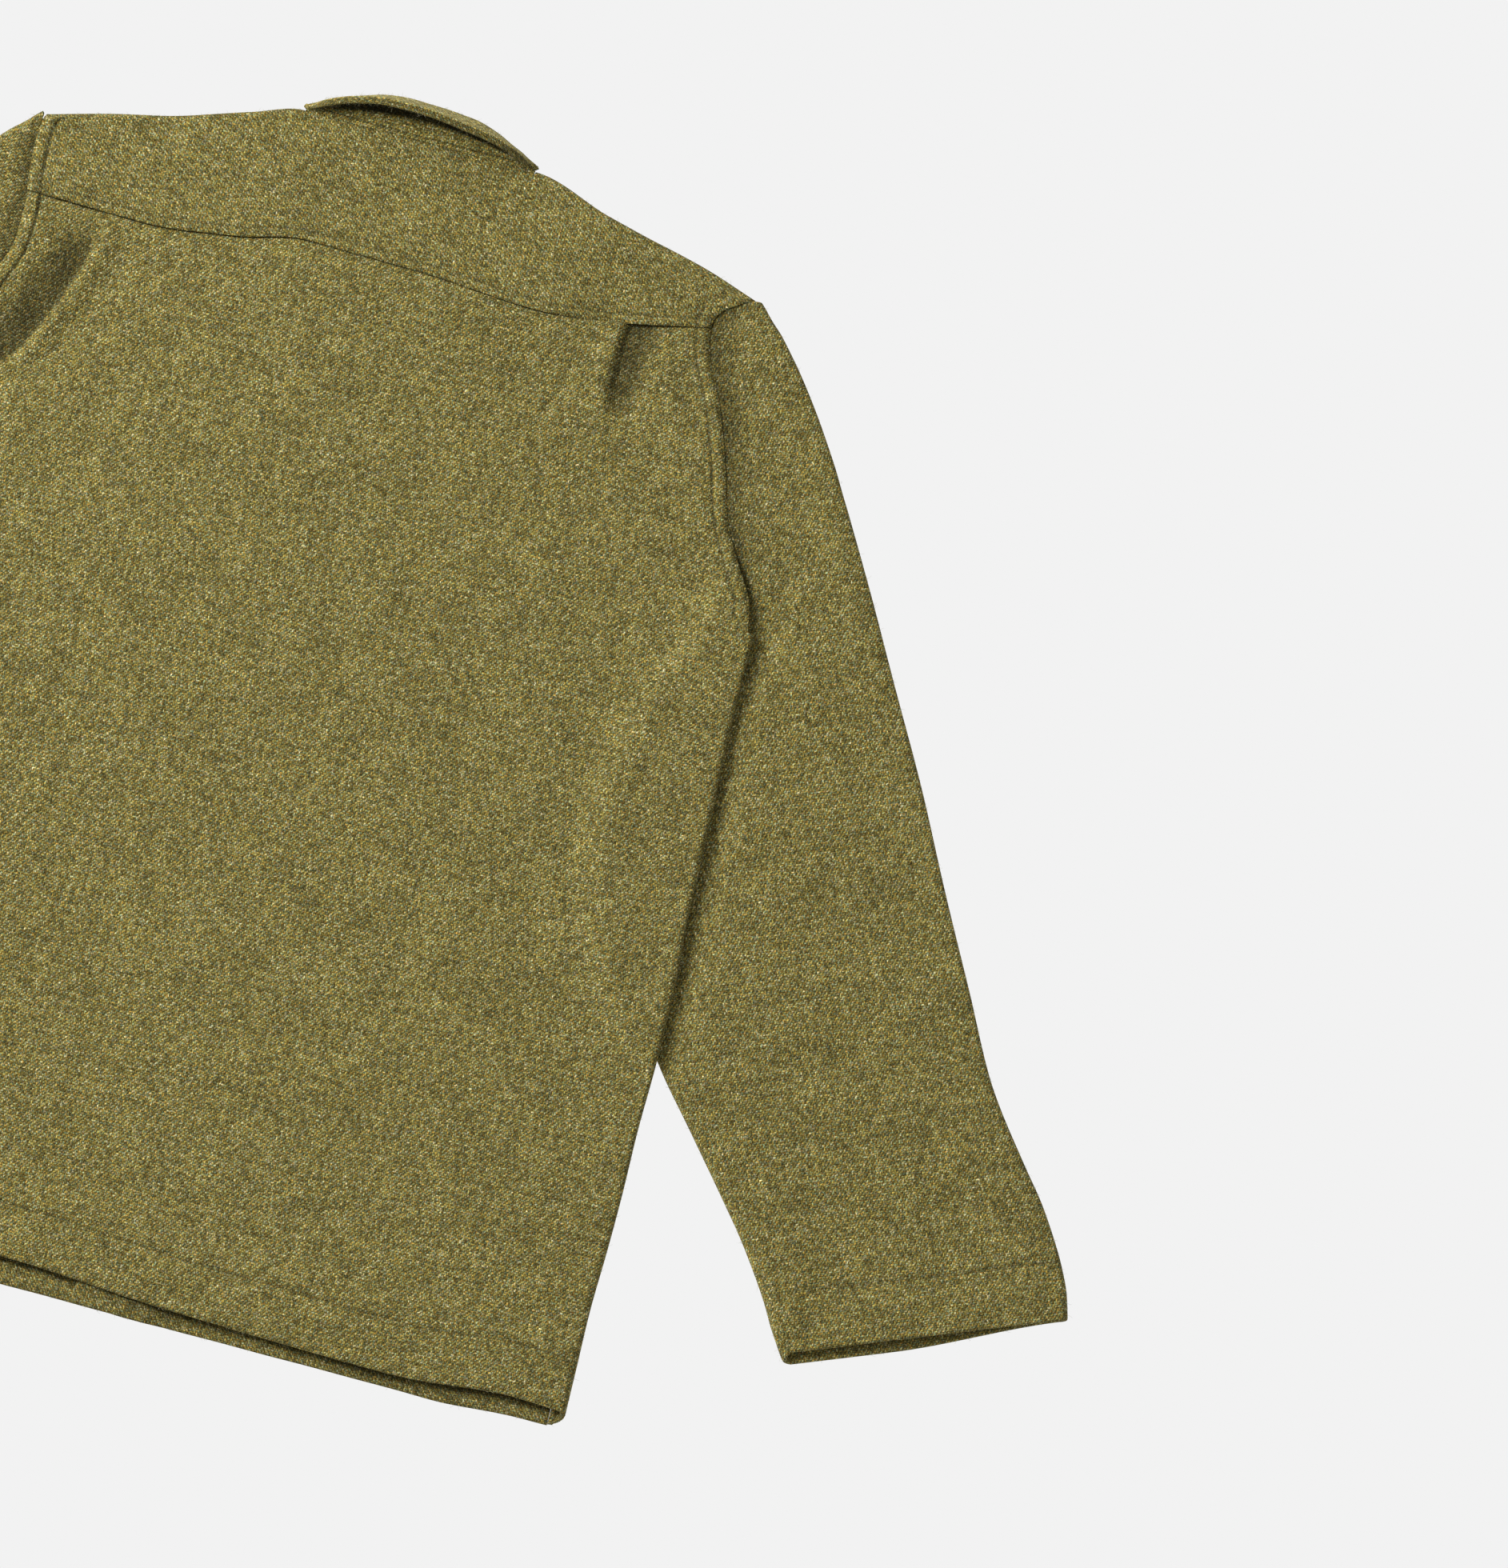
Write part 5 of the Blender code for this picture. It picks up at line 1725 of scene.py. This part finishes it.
@dataclass
class TopStitching:
    """Rows of stitches in thread of the cloth's own colour, each stitch half sunk in its groove."""

    thread: bpy.types.Material
    stitch: float = 0.0027
    space: float = 0.0007
    radius: float = 0.00021
    sunk: float = 0.00016
    sides: int = 5

    def sew(self, name: str, path: np.ndarray, ground: Sequence[bpy.types.Object]) -> None:
        """Sews one row of stitches.

        Args:
            name: the piece's name.
            path: the row's places on the flat plan, count x 2.
            ground: the pieces of cloth that it is sewn through.
        """
        trees = [BVHTree.FromObject(piece, bpy.context.evaluated_depsgraph_get()) for piece in ground]
        walked = np.concatenate([[0.0], np.cumsum(np.linalg.norm(np.diff(path, axis=0), axis=1))])
        points: list[np.ndarray] = []
        faces: list[list[int]] = []
        start = 0.0
        while start + self.stitch < walked[-1]:
            spine = []
            for share in (0.0, 0.3, 0.7, 1.0):
                at = start + self.stitch * share
                place = [float(np.interp(at, walked, path[:, axis])) for axis in (0, 1)]
                hit = self.surface(trees, place)
                if hit is None:
                    break
                sink = self.sunk + (0.00030 if share in (0.0, 1.0) else 0.0)
                spine.append(hit[0] + hit[1] * (self.radius - sink))
            if len(spine) == 4:
                self.add_stitch(points, faces, spine)
            start += self.stitch + self.space
        if not points:
            LOG.warning("%s: no cloth under its path", name)
            return
        made = mesh_object(name, np.array(points), faces, self.thread)
        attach(made, "root")
        LOG.info("%s: %d stitches", name, len(points) // (4 * self.sides))

    @staticmethod
    def surface(trees: Sequence[BVHTree], place: Sequence[float]) -> tuple[Vector, Vector] | None:
        """The outermost cloth at a place of the plan, and the direction out of it.

        Args:
            trees: the cloths to sew through.
            place: the place on the plan.

        Returns:
            The spot and its normal, or None where no cloth lies.
        """
        origin = Vector((place[0], place[1] + LAID_SHIFT_Y, 0.2))
        best = None
        for tree in trees:
            spot, normal, _, distance = tree.ray_cast(origin, Vector((0.0, 0.0, -1.0)))
            if spot is not None and (best is None or distance < best[2]):
                best = (spot, normal, distance)
        return None if best is None else (best[0], best[1])

    def add_stitch(self, points: list[np.ndarray], faces: list[list[int]], spine: Sequence[Vector]) -> None:
        """Adds one stitch: a short tube, thinner at both ends where it dives into the cloth.

        Args:
            points: the corners so far.
            faces: the faces so far.
            spine: four places along the stitch.
        """
        base = len(points)
        along = (spine[-1] - spine[0]).normalized()
        aside = along.cross(Vector((0.0, 0.0, 1.0))).normalized()
        up = aside.cross(along)
        for centre, swell in zip(spine, (0.55, 1.0, 1.0, 0.55)):
            for side in range(self.sides):
                angle = 2.0 * math.pi * side / self.sides
                offset = aside * math.cos(angle) + up * math.sin(angle)
                points.append(np.array(centre + offset * self.radius * swell))
        for ring in range(3):
            for side in range(self.sides):
                following = (side + 1) % self.sides
                low = base + ring * self.sides
                faces.append(
                    [low + side, low + following, low + self.sides + following, low + self.sides + side]
                )


@dataclass
class LooseFibres:
    """Wool fibres that stand out of the cloth, most of them short, thicker on folds and edges."""

    fibre: bpy.types.Material
    name: str
    count: int
    seed: int
    shortest: float = 0.0010
    longest: float = 0.0045
    # Real fibres are 0.03 mm thick; drawn four times as thick so that they show at this size
    radius: float = 0.00006
    edge_weight: float = 2.5

    def grow(self, cloths: Sequence[bpy.types.Object]) -> None:
        """Grows the fibres as one joined mesh of thin three-sided spikes.

        Args:
            cloths: the pieces of cloth that they grow from.
        """
        centres, normals, weights = self.spots(cloths)
        draw = np.random.default_rng(self.seed)
        picked = draw.choice(len(centres), size=self.count, p=weights / weights.sum())
        root = centres[picked] + draw.normal(0.0, 0.0009, (self.count, 3)) * (1.0 - np.abs(normals[picked]))
        normal = normals[picked]
        side = np.cross(normal, draw.normal(0.0, 1.0, (self.count, 3)))
        side /= np.linalg.norm(side, axis=1, keepdims=True)
        lean = draw.uniform(0.3, 2.6, (self.count, 1))
        way = normal + side * lean
        way /= np.linalg.norm(way, axis=1, keepdims=True)
        length = mix(self.shortest, self.longest, draw.random((self.count, 1)) ** 2.4)
        curl = np.cross(normal, side) * draw.normal(0.0, 0.42, (self.count, 1))
        curl = curl - normal * draw.uniform(0.0, 0.35, (self.count, 1))
        middle = root + way * length * 0.5
        tip = root + way * length + curl * length * 0.5
        across = np.cross(way, normal + side * 0.01)
        across /= np.linalg.norm(across, axis=1, keepdims=True)
        upward = np.cross(across, way)
        rings = []
        for centre, swell in ((root - normal * 0.00012, 1.0), (middle, 0.85)):
            for angle in (0.0, 2.0 * math.pi / 3.0, 4.0 * math.pi / 3.0):
                rings.append(
                    centre + (across * math.cos(angle) + upward * math.sin(angle)) * self.radius * swell
                )
        rings.append(tip)
        points = np.stack(rings, axis=1)
        points[..., 2] = np.maximum(points[..., 2], 0.00005)
        base = (np.arange(self.count) * 7)[:, None, None]
        pattern = np.array(
            [[0, 1, 4, 3], [1, 2, 5, 4], [2, 0, 3, 5], [3, 4, 6, 6], [4, 5, 6, 6], [5, 3, 6, 6], [0, 2, 1, 1]]
        )
        faces = (base + pattern[None]).reshape(-1, 4)
        # A triangle is written above as a face whose last corner comes twice
        cleaned = [face[:3] if face[2] == face[3] else face for face in faces.tolist()]
        made = mesh_object(self.name, points.reshape(-1, 3), cleaned, self.fibre)
        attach(made, "root")
        LOG.info("%s: %d fibres", self.name, self.count)

    def spots(self, cloths: Sequence[bpy.types.Object]) -> tuple[np.ndarray, np.ndarray, np.ndarray]:
        """Where fibres may grow: the middle of each face, with more weight on upright ones.

        Args:
            cloths: the pieces of cloth.

        Returns:
            The places, their normals and their weights.
        """
        centres, normals, weights = [], [], []
        for cloth in cloths:
            faces = cloth.data.polygons
            centre = np.empty(len(faces) * 3)
            normal = np.empty(len(faces) * 3)
            area = np.empty(len(faces))
            faces.foreach_get("center", centre)
            faces.foreach_get("normal", normal)
            faces.foreach_get("area", area)
            centres.append(centre.reshape(-1, 3))
            normals.append(normal.reshape(-1, 3))
            weights.append(area)
        centre, normal, area = np.concatenate(centres), np.concatenate(normals), np.concatenate(weights)
        upright = 1.0 - np.abs(normal[:, 2])
        seen = smooth((normal[:, 2] + 0.75) / 0.5) * (centre[:, 2] > 0.0012)
        return centre, normal, area * seen * (1.0 + self.edge_weight * upright)


@dataclass
class Studio:
    """The pale floor, the soft light and the camera at the photograph's angle.

    Attributes:
        scale_mm: the real size of one pixel of the photograph, in mm, on the floor.
        centre: the place on the jacket's plan that lies in the middle of the photograph.
        elevation: the camera's height above the horizon, seen from the hem, in degrees.
        roll: how far the jacket is turned clockwise in the picture, in degrees.
    """

    scale_mm: float = 0.48
    centre: tuple[float, float] = (0.294, 0.030)
    elevation: float = 80.0
    roll: float = 15.0
    lens: float = 620.0
    sensor: float = 36.0
    clip: tuple[float, float] = (1.0, 60.0)
    floor_half: float = 4.0
    key_distance: float = 4.4
    key_size: float = 2.1
    key_power: float = 206.0
    key_elevation: float = 44.0
    key_bearing: float = 162.0
    surround: float = 0.34
    floor_drop: float = 0.0002

    def camera(self) -> bpy.types.Object:
        """Makes the camera and gives it to the scene."""
        lens = bpy.data.cameras.new("camera")
        lens.lens = self.lens
        lens.sensor_width = self.sensor
        made = placed("camera", lens)
        frame_height = PHOTO_HEIGHT * self.scale_mm * MM
        distance = frame_height * self.lens / self.sensor
        tilt = math.radians(self.elevation)
        back = Vector((0.0, -math.cos(tilt), math.sin(tilt)))
        up = Vector((0.0, math.sin(tilt), math.cos(tilt)))
        turn = math.radians(self.roll)
        right = Vector((1.0, 0.0, 0.0)) * math.cos(turn) + up * math.sin(turn)
        above = up * math.cos(turn) - Vector((1.0, 0.0, 0.0)) * math.sin(turn)
        aim = Vector((self.centre[0], self.centre[1] + LAID_SHIFT_Y, 0.0))
        turn = Matrix((right, above, back)).transposed().to_4x4()
        made.matrix_world = Matrix.Translation(aim + back * distance) @ turn
        lens.clip_start, lens.clip_end = self.clip
        bpy.context.scene.camera = made
        return made

    def lights(self) -> None:
        """Makes a large soft key light far off to the upper left of the picture, and an even surround."""
        world = bpy.data.worlds.new("surround")
        world.use_nodes = True
        world.node_tree.nodes["Background"].inputs["Color"].default_value = (1.0, 1.0, 1.0, 1.0)
        world.node_tree.nodes["Background"].inputs["Strength"].default_value = self.surround
        bpy.context.scene.world = world
        key = bpy.data.lights.new("key", "AREA")
        key.shape = "DISK"
        key.size = self.key_size
        key.energy = self.key_power
        made = placed("key", key)
        level = math.cos(math.radians(self.key_elevation))
        bearing = math.radians(self.key_bearing)
        towards_light = Vector(
            (level * math.cos(bearing), level * math.sin(bearing), math.sin(math.radians(self.key_elevation)))
        )
        made.location = towards_light * self.key_distance
        made.rotation_mode = "QUATERNION"
        made.rotation_quaternion = towards_light.to_track_quat("Z", "Y")

    def floor(self) -> None:
        """Lays the backdrop paper just under the jacket."""
        half = self.floor_half
        corners = np.array([[-half, -half, 0], [half, -half, 0], [half, half, 0], [-half, half, 0]], float)
        corners[:, 2] = -self.floor_drop
        made = mesh_object("floor", corners, [[0, 1, 2, 3]], LitPaper().material())

    def set_up(self) -> None:
        """Makes everything round the jacket."""
        bpy.context.scene.view_settings.view_transform = "Standard"
        self.camera()
        self.lights()
        self.floor()


def armhole_path(side: int) -> np.ndarray:
    """The topstitching beside an armhole, from the underarm to the shoulder."""
    seam = DRAFT.armhole_right if side > 0 else DRAFT.armhole_left
    y = np.linspace(DRAFT.underarm_y + 0.010, 0.3105, 90)
    slope = seam.slope(y)
    bend = np.hypot(1.0, slope)
    return np.stack(
        [side * (seam(y) - DRAFT.armhole_band / bend), y + DRAFT.armhole_band * slope / bend], axis=-1
    )


def hem_path() -> np.ndarray:
    """The stitching of the back's hem."""
    x = np.linspace(-0.268, 0.268, 180)
    return np.stack([x, DRAFT.back_hem(x) + DRAFT.hem_depth], axis=-1)


def yoke_path() -> np.ndarray:
    """The edge stitching of the yoke, above its seam."""
    x = np.linspace(-0.208, 0.186, 160)
    return np.stack([x, DRAFT.yoke_seam(x) + DRAFT.yoke_band], axis=-1)


def cuff_path(side: int) -> np.ndarray:
    """The stitching of a cuff's hem, from its inner to its outer fold."""
    start = np.array([SLEEVE[2].inner_x + 0.004, SLEEVE[2].inner_y + 0.002])
    end = np.array([SLEEVE[2].outer_x - 0.004, SLEEVE[2].outer_y])
    return mix(start, end, np.linspace(0.0, 1.0, 60)[:, None]) * np.array([side, 1.0])


def main() -> None:
    """Builds the jacket piece by piece, then what surrounds it."""
    logging.basicConfig(level=logging.INFO, format="%(name)s: %(message)s")
    Studio().set_up()
    jacket = Jacket(HeatherTweed().material(), {})
    FrontPanel(-1, "front_panel_left", "front_left").make(jacket)
    FrontPanel(1, "front_panel_right", "front_right").make(jacket)
    SleeveTube(1, "sleeve_tube_right", "sleeve_right", SLEEVE_CREASES_RIGHT, Waves(51)).make(jacket)
    SleeveTube(-1, "sleeve_tube_left", "sleeve_left", SLEEVE_CREASES_LEFT, Waves(52)).make(jacket)
    BackPanel().make(jacket)
    YokePanel().make(jacket)
    CollarRoll(Layer.UNDER, "collar_under_layer", "collar_under").make(jacket)
    CollarRoll(Layer.UPPER, "collar_upper_layer", "collar_upper").make(jacket)
    CollarEnd(-1, "collar_tip_left", "collar_end_left").make(jacket)
    CollarEnd(1, "collar_tip_right", "collar_end_right").make(jacket)
    shells = jacket.shells
    thread = SpunFibre("sewing_thread", "#6F6738", "#4E481F", 0.6, 0.1).material()
    stitching = TopStitching(thread)
    body = [shells["back_panel"], shells["yoke_panel"]]
    for side, name in ((-1, "left"), (1, "right")):
        stitching.sew(f"topstitch_armhole_{name}", armhole_path(side), body)
        stitching.sew(f"topstitch_cuff_{name}", cuff_path(side), [shells[f"sleeve_tube_{name}"]])
    stitching.sew("topstitch_hem", hem_path(), body)
    stitching.sew("topstitch_yoke", yoke_path(), body)
    cloths = [piece for name, piece in shells.items() if not name.startswith("collar_tip")]
    pale = SpunFibre("pale_fibre", "#CFC9A4", "#8F8A5C", 0.7, 0.3).material()
    LooseFibres(pale, "loose_fibres", 16000, 61).grow(cloths)
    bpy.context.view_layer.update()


if __name__ == "__main__":
    main()
